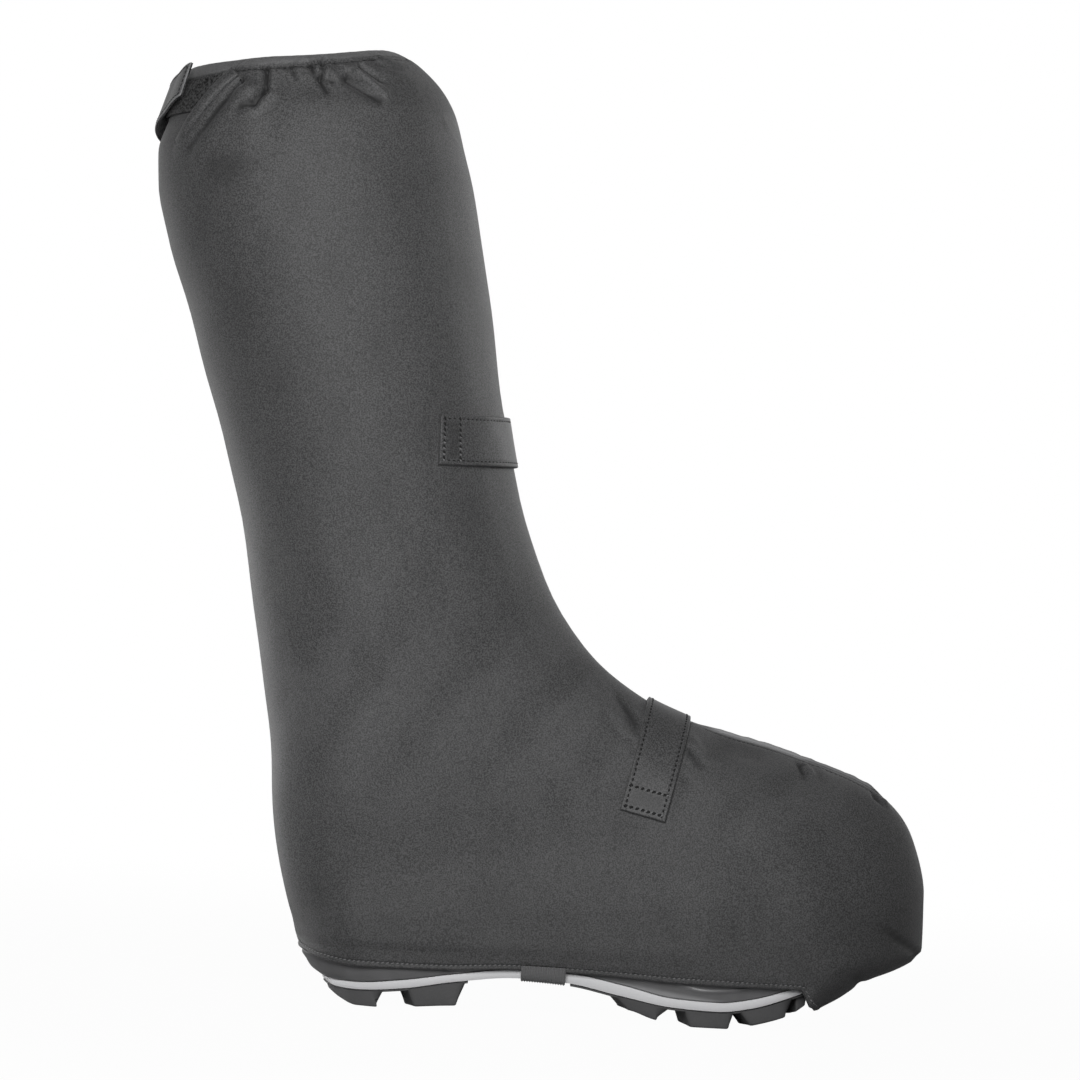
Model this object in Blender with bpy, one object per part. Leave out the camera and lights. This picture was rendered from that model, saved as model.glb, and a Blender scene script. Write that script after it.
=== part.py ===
"""Knee-high cycling overshoe for the right foot, pulled over the sole unit of a lugged shoe.

The frame is in metres: +X to the toe, -Y to the outer side, +Z up, with the treads on Z = 0.
The tables below are in millimetres, with X from the back of the heel tread.
"""

import math
from collections import namedtuple

import bmesh
import bpy
import numpy as np
from mathutils import Vector

MM = 0.001

# Driving sizes
CLOTH_WALL = 1.2
CUFF_STEP = 0.6
CUFF_START = 21.35
CUFF_EDGE = 0.06
SEAM_HEIGHT = 1.1
SEAM_SHARE = 0.0055
SEAM_FOOT = 1.6
SEAM_TOP = 0.8
SOLE_LENGTH = 273.0
SOLE_TIP = 0.3
SOLE_STATIONS = 38
STATION_GAP = 1.0
SLAB_COLUMNS = 5
SLAB_LEAST_HALF = 1.0
MIDSOLE_BOW = 0.9
TREAD_BOW = 0.3
HEEL_ROUND = 34.0
TOE_ROUND = 62.0
TREAD_LAYER = 1.5
RAND_WALL = 2.0
INSOLE_THICK = 3.0
INSOLE_INSET = 4.5
INSOLE_ENDS = 9.0
STRAP_THICK = 1.8
ELASTIC_THICK = 1.2
PATCH_THICK = 1.2
TAB_THICK = 1.5
GAP = 0.3
STRAP_GAP = 0.6
SHARP_ANGLE = 40.0

# Plan of the foot: half width, and how far the middle is moved to the inner side
Plan = namedtuple("Plan", "x half shift")
PLAN = [
    Plan(-15, 31.0, 0.0),
    Plan(30, 34.5, 0.0),
    Plan(75, 33.5, -1.0),
    Plan(110, 35.0, -1.0),
    Plan(150, 42.0, 1.0),
    Plan(188, 48.5, 3.0),
    Plan(225, 47.5, 6.0),
    Plan(255, 44.0, 8.5),
    Plan(295, 40.0, 10.0),
]

# Side view of the midsole: heel, arch, ball and toe spring
Sole = namedtuple("Sole", "x bottom top")
SOLE = [
    Sole(0, 12.0, 13.6),
    Sole(7, 8.8, 11.8),
    Sole(15, 7.9, 11.3),
    Sole(39, 9.8, 13.7),
    Sole(66, 14.6, 18.2),
    Sole(96, 18.0, 22.0),
    Sole(119, 17.2, 21.8),
    Sole(146, 12.7, 17.9),
    Sole(171, 9.0, 13.2),
    Sole(193, 8.3, 12.5),
    Sole(207, 10.3, 14.5),
    Sole(233, 18.8, 22.4),
    Sole(258, 28.6, 32.0),
    Sole(273, 35.4, 37.8),
]

# Underside of the lugs along the foot, flat on the floor at heel and forefoot
Tread = namedtuple("Tread", "x z")
TREAD = [
    Tread(0, 8.5),
    Tread(5, 5.2),
    Tread(10, 2.5),
    Tread(15, 0.5),
    Tread(18, 0.0),
    Tread(31, 0.0),
    Tread(46, 1.2),
    Tread(67, 2.8),
    Tread(148, 6.0),
    Tread(162, 2.5),
    Tread(176, 0.0),
    Tread(199, 0.0),
    Tread(208, 1.9),
    Tread(226, 7.0),
    Tread(238, 12.0),
]

# Lugs: reach along the layer and along the floor, distance in from the sole's edge, and how far
# the inner side's one is moved on
Lug = namedtuple("Lug", "rear front foot_rear foot_front edge inner_move")
HEEL_LUGS = [
    Lug(3.2, 31.4, 8.0, 29.0, 0.9, 0.0),
    Lug(43.0, 71.0, 46.4, 66.8, 0.9, 0.0),
]
FOREFOOT_LUGS = [
    Lug(143.0, 169.4, 149.5, 163.8, 0.9, 7.0),
    Lug(176.5, 200.5, 179.5, 198.3, 0.9, 0.0),
    Lug(203.0, 228.5, 208.8, 225.6, 0.9, 0.0),
    Lug(230.0, 235.5, 230.5, 235.0, 10.0, 0.0),
]
LUG_SWEEP = 5.5
LUG_DRAFT = 1.6
LUG_INNER_SHARE = 0.36
LUG_STEPS = 4
LUG_REAR_STOP = 2.0
HEEL_TREAD_X = (1.0, 73.0)
FOREFOOT_TREAD_X = (121.0, 245.0)
TREAD_INSET = 0.4

# Height of the cloth's hem along the side, and of the rand's top edge inside it
Edge = namedtuple("Edge", "x z")
HEM = [
    Edge(-11, 25.4),
    Edge(0, 21.2),
    Edge(18, 19.4),
    Edge(60, 20.1),
    Edge(90, 22.0),
    Edge(131, 22.3),
    Edge(178, 20.8),
    Edge(236, 20.8),
]
RAND_TOP = [
    Edge(-10, 29.0),
    Edge(120, 29.0),
    Edge(205, 28.0),
    Edge(240, 32.0),
    Edge(273, 46.0),
]
RAND_STEPS = 3
RAND_INSET = 1.4
RAND_FLARE = 1.8
RAND_HEEL_LEAN = 8.0
RAND_BULGE = 2.0
RAND_HEEL_REACH = 42.0

# Sections of the upper from hem to collar, each in a plane through its back and its front.
# half is the shaft's own half width; spread is how far the cloth stands off the foot's plan;
# foot_share goes from 1, the foot's plan, to 0, an oval; the rounds are the lengths of the ends.
Section = namedtuple(
    "Section",
    "back_x back_z front_x front_z half spread foot_share back_round front_round",
)
SECTIONS = [
    Section(-10.6, 25.4, 239.4, 11.0, 44.0, 3.0, 1.00, 36, 3),
    Section(-11.8, 28.8, 267.0, 27.6, 44.0, 3.6, 1.00, 36, 30),
    Section(-13.4, 32.5, 290.8, 42.4, 44.0, 4.4, 1.00, 36, 56),
    Section(-15.6, 38.5, 291.0, 67.0, 44.0, 4.4, 1.00, 36, 64),
    Section(-18.4, 46.0, 283.0, 94.0, 44.0, 3.6, 1.00, 38, 80),
    Section(-21.4, 55.5, 267.0, 113.2, 44.0, 3.0, 1.00, 40, 108),
    Section(-24.4, 66.5, 240.0, 126.2, 44.0, 3.0, 1.00, 43, 130),
    Section(-27.1, 80.0, 206.6, 136.0, 44.5, 3.5, 0.90, 47, 136),
    Section(-29.6, 99.0, 172.4, 145.6, 45.0, 4.5, 0.68, 51, 128),
    Section(-31.8, 123.4, 143.8, 158.8, 46.5, 5.5, 0.42, 56, 113),
    Section(-36.0, 157.0, 119.6, 180.4, 48.5, 6.0, 0.18, 62, 94),
    Section(-41.4, 190.5, 101.2, 209.8, 50.8, 6.0, 0.00, 67, 78),
    Section(-47.8, 231.0, 88.0, 245.0, 53.2, 6.0, 0.00, 67, 70),
    Section(-57.5, 270.0, 80.0, 279.5, 55.5, 6.0, 0.00, 68, 70),
    Section(-68.8, 306.0, 73.8, 312.0, 57.5, 6.0, 0.00, 71, 72),
    Section(-79.8, 342.0, 68.2, 348.0, 59.0, 6.0, 0.00, 74, 74),
    Section(-89.6, 370.5, 62.6, 378.0, 60.0, 6.0, 0.00, 76, 76),
    Section(-95.4, 396.4, 57.6, 402.4, 60.0, 6.0, 0.00, 76, 76),
    Section(-95.8, 413.3, 52.4, 418.8, 58.5, 6.0, 0.00, 74, 74),
    Section(-91.8, 428.2, 46.2, 437.6, 55.5, 6.0, 0.00, 70, 70),
    Section(-88.2, 441.0, 38.2, 450.4, 51.0, 6.0, 0.00, 64, 64),
    Section(-84.2, 449.4, 27.4, 459.6, 46.5, 6.0, 0.00, 56, 56),
    Section(-80.8, 454.4, 17.6, 463.6, 43.5, 6.0, 0.00, 49, 49),
]
FINE_STEPS = 240
HEM_DIVE_LENGTH = 6.0
HEM_DIVE_END = 3.0
HEM_CORNER_RISE = 3.5
HEM_CORNER_POWER = 4
NORMAL_SHARE = 0.004
NORMAL_STEP = 0.05
SEAM_FROM = 3.6
SEAM_TO = 7.7
SEAM_FADE = 0.7

# Lean of the shaft to the back, about a place in the foot, coming in between two heights
LEAN = math.radians(1.2)
LEAN_X = 171.0
LEAN_Z = 88.0
LEAN_HEIGHTS = (110.0, 200.0)

# Rows of the upper as steps from hem to collar, closer in the foot and at the gathered collar
Rows = namedtuple("Rows", "start end gap")
ROWS = [
    Rows(0.0, 6.0, 0.5),
    Rows(6.0, 7.0, 1.0),
    Rows(7.0, 10.0, 0.5),
    Rows(10.0, 19.0, 1.0),
    Rows(19.0, CUFF_START, 0.5),
]

# Columns of the upper from back to front as shares of the way round, close at the pocket's corner
Columns = namedtuple("Columns", "start end count")
COLUMNS = [
    Columns(0.0, 0.39, 14),
    Columns(0.39, 0.435, 5),
    Columns(0.435, 0.485, 3),
]

# Straps: the plane they follow, its two levels, the way they run, and where they end
Strap = namedtuple("Strap", "across low high along end step_low step_high reach")
SHIN_STRAP = Strap((0.0, 0.0, 1.0), 265.5, 289.9, (1.0, 0.0, 0.0), 46.6, 11.5, 15.0, 0.22)
INSTEP_STRAP = Strap((-0.977, 0.0, 0.213), -137.6, -115.0, (0.213, 0.0, 0.977), 129.8, 2.5, 10.5, 0.24)
STRAP_COLUMNS = 3
STRAP_POINTS = 25
STRAP_SEARCH_SHARES = 121
STRAP_SEARCH_STEPS = 61

# Rear closure: reach round the collar as a share of the way round, and steps up the upper
Closure = namedtuple("Closure", "start end low high columns rows")
COLLAR_LOOP = Closure(-0.06, 0.165, 19.15, 21.2, 11, 5)
COLLAR_TAB = Closure(-0.09, 0.088, 19.2, 21.4, 12, 4)
TAB_RISE = 9.0
TAB_STAND_OFF = 4.1
TAB_END_LIFT = 3.0
TAB_END_SHARE = 0.05

# Underfoot elastic: reach along the foot, height of its sewn ends, and its turn under the sole's
# edge as shares of its stand-off and heights over the midsole's underside
ELASTIC_X = (97.0, 118.4)
ELASTIC_TOP = 24.6
ELASTIC_HEM_DROP = 0.6
ELASTIC_FLAT_INSET = 2.5
ELASTIC_MIDDLE_SHARE = 0.5
ELASTIC_COLUMNS = 4
Turn = namedtuple("Turn", "stand_share rise")
ELASTIC_TURN = [
    Turn(0.8, 1.6),
    Turn(0.3, 0.3),
]

# Base colour and roughness of each piece
Finish = namedtuple("Finish", "colour roughness")
FINISHES = {
    "upper": Finish((0.085, 0.085, 0.087), 0.75),
    "rand": Finish((0.030, 0.030, 0.031), 0.35),
    "midsole": Finish((0.52, 0.52, 0.52), 0.6),
    "heel_tread": Finish((0.045, 0.045, 0.046), 0.6),
    "forefoot_tread": Finish((0.045, 0.045, 0.046), 0.6),
    "insole": Finish((0.05, 0.05, 0.05), 0.9),
    "shin_strap": Finish((0.055, 0.055, 0.056), 0.75),
    "instep_strap": Finish((0.055, 0.055, 0.056), 0.75),
    "arch_elastic": Finish((0.075, 0.075, 0.076), 0.85),
    "collar_loop": Finish((0.022, 0.022, 0.022), 0.95),
    "collar_tab": Finish((0.075, 0.075, 0.076), 0.7),
}


def slopes(xs, ys):
    """Slope of the curve at each station, level at a peak so that it never overshoots."""
    steps = np.diff(ys) / np.diff(xs)
    before = steps[:-1]
    after = steps[1:]
    agree = before * after > 0
    total = np.where(agree, before + after, 1.0)
    inner = np.where(agree, 2 * before * after / total, 0.0)
    return np.concatenate([steps[:1], inner, steps[-1:]])


def curve(xs, ys, at):
    """Smooth curve through the stations, read at one place or many."""
    xs = np.asarray(xs, float)
    ys = np.asarray(ys, float)
    at = np.clip(at, xs[0], xs[-1])
    i = np.clip(np.searchsorted(xs, at, side="right") - 1, 0, len(xs) - 2)
    width = xs[i + 1] - xs[i]
    f = (at - xs[i]) / width
    slope = slopes(xs, ys)
    start = (1 + 2 * f) * (1 - f) ** 2 * ys[i] + f * (1 - f) ** 2 * width * slope[i]
    end = f**2 * (3 - 2 * f) * ys[i + 1] - f**2 * (1 - f) * width * slope[i + 1]
    return start + end


def column(table, name, at):
    """One column of a table of stations along X, read at x."""
    return curve([row.x for row in table], [getattr(row, name) for row in table], at)


def smooth_step(f):
    """0 to 1 with level ends."""
    f = np.clip(f, 0.0, 1.0)
    return f * f * (3 - 2 * f)


def round_end(distance, length):
    """Share of the full width at a distance from a rounded end."""
    left = np.clip(1 - distance / length, 0.0, 1.0)
    return np.sqrt(1 - left * left)


def sole_half(x):
    """Half width of the sole with its round heel and toe."""
    ends = round_end(x, HEEL_ROUND) * round_end(SOLE_LENGTH - x, TOE_ROUND)
    return column(PLAN, "half", x) * ends


def section_at(step):
    """Section of the upper at any step between hem and collar."""
    steps = range(len(SECTIONS))
    return Section(*(curve(steps, values, step) for values in zip(*SECTIONS)))


def hem_height(step, row, x, from_front, ends):
    """Height of the cloth between its hem and the first section, with the dive under the toe."""
    first = SECTIONS[1]
    slope = (first.front_z - first.back_z) / (first.front_x - first.back_x)
    hem_z = column(HEM, "z", x)
    side_z = hem_z + step * (first.back_z + slope * (x - first.back_x) - hem_z)
    start = row.front_round + HEM_DIVE_LENGTH
    dive = smooth_step((start - from_front) / (start - HEM_DIVE_END))
    under_z = row.front_z + (1 - step) * HEM_CORNER_RISE * ends**HEM_CORNER_POWER
    return side_z + dive * (under_z - side_z)


def skin(step, shares):
    """Points on the upper's outer face at one step, at shares of the way round it.

    Share 0 is the back, 0.5 the front, and the outer side lies between them.
    """
    row = section_at(step)
    u = (1 - np.cos(np.linspace(0, math.pi, FINE_STEPS))) / 2
    x = row.back_x + u * (row.front_x - row.back_x)
    chord_z = row.back_z + u * (row.front_z - row.back_z)
    reach = math.hypot(row.front_x - row.back_x, row.front_z - row.back_z)
    ends = round_end(u * reach, row.back_round) * round_end((1 - u) * reach, row.front_round)
    foot = column(PLAN, "half", x) + row.spread
    half = ends * (row.half + row.foot_share * (foot - row.half))
    middle = row.foot_share * column(PLAN, "shift", x)
    z = chord_z
    if step < 1:
        z = hem_height(step, row, x, (1 - u) * reach, ends)
    shares = np.asarray(shares, float) % 1.0
    way = 1 - np.abs(2 * shares - 1)
    points = np.empty((len(shares), 3))
    for side, chosen in ((-1, shares <= 0.5), (1, shares > 0.5)):
        path = np.column_stack([x, middle + side * half, z])
        gone = np.concatenate([[0], np.cumsum(np.linalg.norm(np.diff(path, axis=0), axis=1))])
        for axis in range(3):
            points[chosen, axis] = np.interp(way[chosen], gone / gone[-1], path[:, axis])
    return points


def skin_normals(step, shares):
    """Outward directions of the upper's face."""
    shares = np.asarray(shares, float)
    last = len(SECTIONS) - 1
    above = min(step + NORMAL_STEP, last)
    below = max(step - NORMAL_STEP, 0)
    round_way = skin(step, shares + NORMAL_SHARE) - skin(step, shares - NORMAL_SHARE)
    up_way = skin(above, shares) - skin(below, shares)
    normal = np.cross(round_way, up_way)
    return normal / np.linalg.norm(normal, axis=1)[:, None]


def lean_back(point):
    """A point of the plain upright form, moved by the lean of the shaft."""
    x, y, z = point
    low, high = LEAN_HEIGHTS
    turn = LEAN * float(smooth_step((z - low) / (high - low)))
    over_x = x - LEAN_X
    over_z = z - LEAN_Z
    lean_x = LEAN_X + over_x * math.cos(turn) - over_z * math.sin(turn)
    lean_z = LEAN_Z + over_x * math.sin(turn) + over_z * math.cos(turn)
    return Vector((lean_x, y, lean_z)) * MM


def finish_of(name):
    """Material of one piece."""
    finish = FINISHES[name]
    material = bpy.data.materials.new(name)
    material.use_nodes = True
    shader = material.node_tree.nodes["Principled BSDF"]
    shader.inputs["Base Color"].default_value = (*finish.colour, 1.0)
    shader.inputs["Roughness"].default_value = finish.roughness
    return material


def object_from(name, mesh, root):
    """New object from a bmesh, shaded smooth between its sharp edges."""
    data = bpy.data.meshes.new(name)
    mesh.to_mesh(data)
    mesh.free()
    data.shade_smooth()
    data.set_sharp_from_angle(angle=math.radians(SHARP_ANGLE))
    made = bpy.data.objects.new(name, data)
    bpy.context.scene.collection.objects.link(made)
    made.parent = root
    if name in FINISHES:
        data.materials.append(finish_of(name))
    return made


def sheet(name, grid, wall, grow, root, closed=False):
    """Piece of sheet: a grid of points with a wall that grows outwards (1) or inwards (-1)."""
    mesh = bmesh.new()
    rows = [[mesh.verts.new(lean_back(point)) for point in line] for line in grid]
    for low, high in zip(rows, rows[1:]):
        count = len(low) if closed else len(low) - 1
        for j in range(count):
            k = (j + 1) % len(low)
            mesh.faces.new((low[j], low[k], high[k], high[j]))
    made = object_from(name, mesh, root)
    solid = made.modifiers.new("wall", "SOLIDIFY")
    solid.thickness = wall * MM
    solid.offset = grow
    solid.use_even_offset = True
    solid.use_rim = True
    return made


def loft(mesh, rings):
    """Closed solid through rings of points, with its two ends filled."""
    made = [[mesh.verts.new(Vector(point) * MM) for point in ring] for ring in rings]
    faces = [mesh.faces.new(made[0]), mesh.faces.new(made[-1])]
    for low, high in zip(made, made[1:]):
        for j in range(len(low)):
            k = (j + 1) % len(low)
            faces.append(mesh.faces.new((low[j], low[k], high[k], high[j])))
    bmesh.ops.recalc_face_normals(mesh, faces=faces)


def stations(start, end):
    """Stations along X shared by the layers of the sole, closer together at heel and toe."""
    turn = np.linspace(0, math.pi, SOLE_STATIONS)
    shared = SOLE_LENGTH * (1 - np.cos(turn)) / 2
    between = shared[(shared > start + STATION_GAP) & (shared < end - STATION_GAP)]
    return np.concatenate([[start], between, [end]])


def slab_rings(xs, bottom, top, inset, edge):
    """Rings of a slab under the foot, its sides bowed out by edge between bottom and top."""
    across = np.linspace(-1, 1, SLAB_COLUMNS)
    rings = []
    for x in xs:
        half = max(sole_half(x) - inset, SLAB_LEAST_HALF)
        middle = column(PLAN, "shift", x)
        flat = half - edge
        low = [(x, middle + f * flat, bottom(x)) for f in across]
        high = [(x, middle + f * flat, top(x)) for f in across[::-1]]
        waist = (bottom(x) + top(x)) / 2
        rings.append([*low, (x, middle + half, waist), *high, (x, middle - half, waist)])
    return rings


def midsole_bottom(x):
    """Underside of the midsole."""
    return column(SOLE, "bottom", x)


def midsole_top(x):
    """Upper side of the midsole."""
    return column(SOLE, "top", x)


def upper_columns():
    """Shares round the upper, the same on both sides, from the back to the front and on."""
    half = np.concatenate([np.linspace(run.start, run.end, run.count, False) for run in COLUMNS])
    seam = 0.5 - SEAM_SHARE * np.array([SEAM_FOOT, SEAM_TOP])
    side = np.concatenate([half, seam])
    return np.concatenate([side, [0.5], 1 - side[:0:-1]])


def upper_steps():
    """Steps up the upper, ending with the cuff's step and the collar's edge."""
    runs = [np.arange(run.start, run.end, run.gap) for run in ROWS]
    return [*np.concatenate(runs), CUFF_START, CUFF_START + CUFF_EDGE, len(SECTIONS) - 1]


def upper_line(step, shares):
    """One line of the upper, raised on the vamp seam and on the collar's cuff."""
    along = smooth_step((step - SEAM_FROM) / SEAM_FADE) * smooth_step((SEAM_TO - step) / SEAM_FADE)
    beside = np.abs(shares - 0.5) < SEAM_SHARE
    raised = SEAM_HEIGHT * along * beside
    if step > CUFF_START:
        raised = raised + CUFF_STEP
    return skin(step, shares) + raised[:, None] * skin_normals(step, shares)


def make_upper(root):
    """Cloth tube from hem to collar with the toe pocket."""
    shares = upper_columns()
    grid = [upper_line(step, shares) for step in upper_steps()]
    sheet("upper", grid, CLOTH_WALL, -1, root, closed=True)


def make_midsole(root):
    """Light foam band from heel to toe."""
    mesh = bmesh.new()
    xs = stations(SOLE_TIP, SOLE_LENGTH - SOLE_TIP)
    loft(mesh, slab_rings(xs, midsole_bottom, midsole_top, 0.0, MIDSOLE_BOW))
    object_from("midsole", mesh, root)


def make_insole(root):
    """Plain sheet lying on the midsole."""
    mesh = bmesh.new()
    xs = stations(INSOLE_ENDS, SOLE_LENGTH - INSOLE_ENDS)

    def bottom(x):
        return midsole_top(x) + GAP

    def top(x):
        return midsole_top(x) + GAP + INSOLE_THICK

    loft(mesh, slab_rings(xs, bottom, top, INSOLE_INSET, MIDSOLE_BOW))
    object_from("insole", mesh, root)


def lug_rings(lug, side):
    """Rings of one lug: outer and inner corner under the layer, then on the floor."""
    move = lug.inner_move if side > 0 else 0.0
    rings = []
    for f in np.linspace(0, 1, LUG_STEPS + 1):
        top_x = lug.rear + move + f * (lug.front - lug.rear)
        foot_x = lug.foot_rear + move + f * (lug.foot_front - lug.foot_rear)
        ring = []
        for x, edge, foot in (
            (top_x, lug.edge, False),
            (top_x, None, False),
            (foot_x, None, True),
            (foot_x, lug.edge + LUG_DRAFT, True),
        ):
            if edge is None:
                reach = LUG_INNER_SHARE * sole_half(x)
                x = max(x - LUG_SWEEP, LUG_REAR_STOP)
            else:
                reach = sole_half(x) - edge
            z = column(TREAD, "z", x) if foot else midsole_bottom(x) - GAP - TREAD_LAYER / 2
            ring.append((x, column(PLAN, "shift", x) + side * reach, z))
        rings.append(ring)
    return rings


def make_tread(name, reach, lugs, root):
    """Thin rubber layer under the midsole with its lugs joined on."""

    def top(x):
        return midsole_bottom(x) - GAP

    def bottom(x):
        return midsole_bottom(x) - GAP - TREAD_LAYER

    mesh = bmesh.new()
    loft(mesh, slab_rings(stations(*reach), bottom, top, TREAD_INSET, TREAD_BOW))
    layer = object_from(name, mesh, root)
    mesh = bmesh.new()
    for lug in lugs:
        for side in (-1, 1):
            loft(mesh, lug_rings(lug, side))
    blocks = object_from(name + "_lugs", mesh, root)
    blocks.hide_render = True
    blocks.display_type = "WIRE"
    joined = layer.modifiers.new("lugs", "BOOLEAN")
    joined.operation = "UNION"
    joined.solver = "EXACT"
    joined.object = blocks


def rand_line(height):
    """One line round the rand, at a share of its height, leaning back at the heel."""
    xs = stations(SOLE_TIP, SOLE_LENGTH - SOLE_TIP)
    lean = RAND_HEEL_LEAN * math.sin(min(1.0, RAND_BULGE * height) * math.pi / 2)
    heel = smooth_step(1 - xs / RAND_HEEL_REACH)
    bottom = midsole_top(xs) + GAP
    z = bottom + height * (column(RAND_TOP, "z", xs) - bottom)
    half = np.maximum(sole_half(xs) - RAND_INSET + RAND_FLARE * height, RAND_WALL)
    middle = column(PLAN, "shift", xs)
    outer = np.column_stack([xs - lean * heel, middle - half, z])
    inner = np.column_stack([xs - lean * heel, middle + half, z])
    return [*outer, *inner[::-1]]


def make_rand(root):
    """Dark strip of the shoe that stands on the midsole inside the cloth."""
    grid = [rand_line(height) for height in np.linspace(0, 1, RAND_STEPS)]
    sheet("rand", grid, RAND_WALL, -1, root, closed=True)


def strap_line(strap, level):
    """Points along a strap's line over the front of the upper, between its two ends."""
    across = np.array(strap.across)
    shares = np.linspace(0.5 - strap.reach, 0.5 + strap.reach, STRAP_SEARCH_SHARES)
    steps = np.linspace(strap.step_low, strap.step_high, STRAP_SEARCH_STEPS)
    surface = np.array([skin(step, shares) for step in steps])
    levels = surface @ across
    line = []
    for j, share in enumerate(shares):
        order = np.argsort(levels[:, j])
        step = np.interp(level, levels[order, j], steps[order])
        line.append((step, share))
    points = np.array([skin(step, [share])[0] for step, share in line])
    normals = np.array([skin_normals(step, [share])[0] for step, share in line])
    place = points @ np.array(strap.along)
    middle = len(shares) // 2
    first = np.interp(strap.end, place[: middle + 1], np.arange(middle + 1))
    last = 2 * middle - np.interp(strap.end, place[: middle - 1 : -1], np.arange(middle + 1))
    at = np.linspace(first, last, STRAP_POINTS)
    index = np.arange(len(shares))
    lifted = points + STRAP_GAP * normals
    return np.column_stack([np.interp(at, index, lifted[:, axis]) for axis in range(3)])


def make_strap(name, strap, root):
    """Sewn strap lying on the upper."""
    levels = np.linspace(strap.low, strap.high, STRAP_COLUMNS)
    grid = [strap_line(strap, level) for level in levels]
    sheet(name, grid, STRAP_THICK, 1, root)


def make_collar_loop(root):
    """Loop patch on the back of the collar."""
    patch = COLLAR_LOOP
    shares = np.linspace(patch.start, patch.end, patch.columns)
    grid = []
    for step in np.linspace(patch.low, patch.high, patch.rows):
        grid.append(skin(step, shares) + STRAP_GAP * skin_normals(step, shares))
    sheet("collar_loop", grid, PATCH_THICK, 1, root)


def make_collar_tab(root):
    """Flat hook tab round the back of the collar, its free end standing off."""
    tab = COLLAR_TAB
    shares = np.linspace(tab.start, tab.end, tab.columns)
    drop = TAB_RISE * (tab.end - shares)
    low = np.array([skin(tab.low - d, [share])[0] for d, share in zip(drop, shares)])
    high = np.array([skin(tab.high - d, [share])[0] for d, share in zip(drop, shares)])
    halfway = (tab.low + tab.high) / 2
    outwards = np.array([skin_normals(halfway - d, [share])[0] for d, share in zip(drop, shares)])
    free = smooth_step((shares - tab.end + TAB_END_SHARE) / TAB_END_SHARE)
    stand_off = TAB_STAND_OFF + TAB_END_LIFT * free
    grid = []
    for f in np.linspace(0, 1, tab.rows):
        grid.append(low + f * (high - low) + stand_off[:, None] * outwards)
    sheet("collar_tab", grid, TAB_THICK, 1, root)


def elastic_path(x):
    """Across the foot at x: down the outer side, under the arch and up the inner side."""
    half = sole_half(x)
    middle = column(PLAN, "shift", x)
    under = midsole_bottom(x) - GAP
    stand_off = SECTIONS[1].spread + STRAP_GAP
    turn = [(half + bend.stand_share * stand_off, under + bend.rise) for bend in ELASTIC_TURN]
    side = [
        (half + stand_off, ELASTIC_TOP),
        (half + stand_off, column(HEM, "z", x) - ELASTIC_HEM_DROP),
        *turn,
        (half - ELASTIC_FLAT_INSET, under),
        (ELASTIC_MIDDLE_SHARE * half, under),
    ]
    outer = [(x, middle - y, z) for y, z in side]
    inner = [(x, middle + y, z) for y, z in reversed(side)]
    return [*outer, *inner]


def make_arch_elastic(root):
    """Elastic band under the arch."""
    grid = [elastic_path(x) for x in np.linspace(*ELASTIC_X, ELASTIC_COLUMNS)]
    sheet("arch_elastic", grid, ELASTIC_THICK, 1, root)


def centre_on_floor(root):
    """Moves the root so that the origin is under the middle of the whole object."""
    bpy.context.view_layer.update()
    graph = bpy.context.evaluated_depsgraph_get()
    corners = []
    for made in root.children:
        if made.hide_render:
            continue
        whole = made.evaluated_get(graph)
        corners.extend(whole.matrix_world @ Vector(corner) for corner in whole.bound_box)
    low = Vector(map(min, zip(*corners)))
    high = Vector(map(max, zip(*corners)))
    root.location = (-(low.x + high.x) / 2, -(low.y + high.y) / 2, -low.z)


def main():
    for old in list(bpy.data.objects):
        bpy.data.objects.remove(old, do_unlink=True)
    root = bpy.data.objects.new("overshoe", None)
    bpy.context.scene.collection.objects.link(root)
    make_upper(root)
    make_rand(root)
    make_midsole(root)
    make_insole(root)
    make_tread("heel_tread", HEEL_TREAD_X, HEEL_LUGS, root)
    make_tread("forefoot_tread", FOREFOOT_TREAD_X, FOREFOOT_LUGS, root)
    make_strap("shin_strap", SHIN_STRAP, root)
    make_strap("instep_strap", INSTEP_STRAP, root)
    make_arch_elastic(root)
    make_collar_loop(root)
    make_collar_tab(root)
    centre_on_floor(root)


main()
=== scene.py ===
"""Looks of a knee-high cycling overshoe: cloth, straps, closure, sole unit and a plain stage.

The tables are in millimetres: X from the back of the heel tread to the toe, Y to the inner side
and Z up from the floor. SHIFT takes them to the frame, which is in metres.
"""

import math
from collections import namedtuple

import bmesh
import bpy
import numpy as np
from bpy.props import FloatProperty, FloatVectorProperty, PointerProperty
from mathutils import Matrix, Vector


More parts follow.
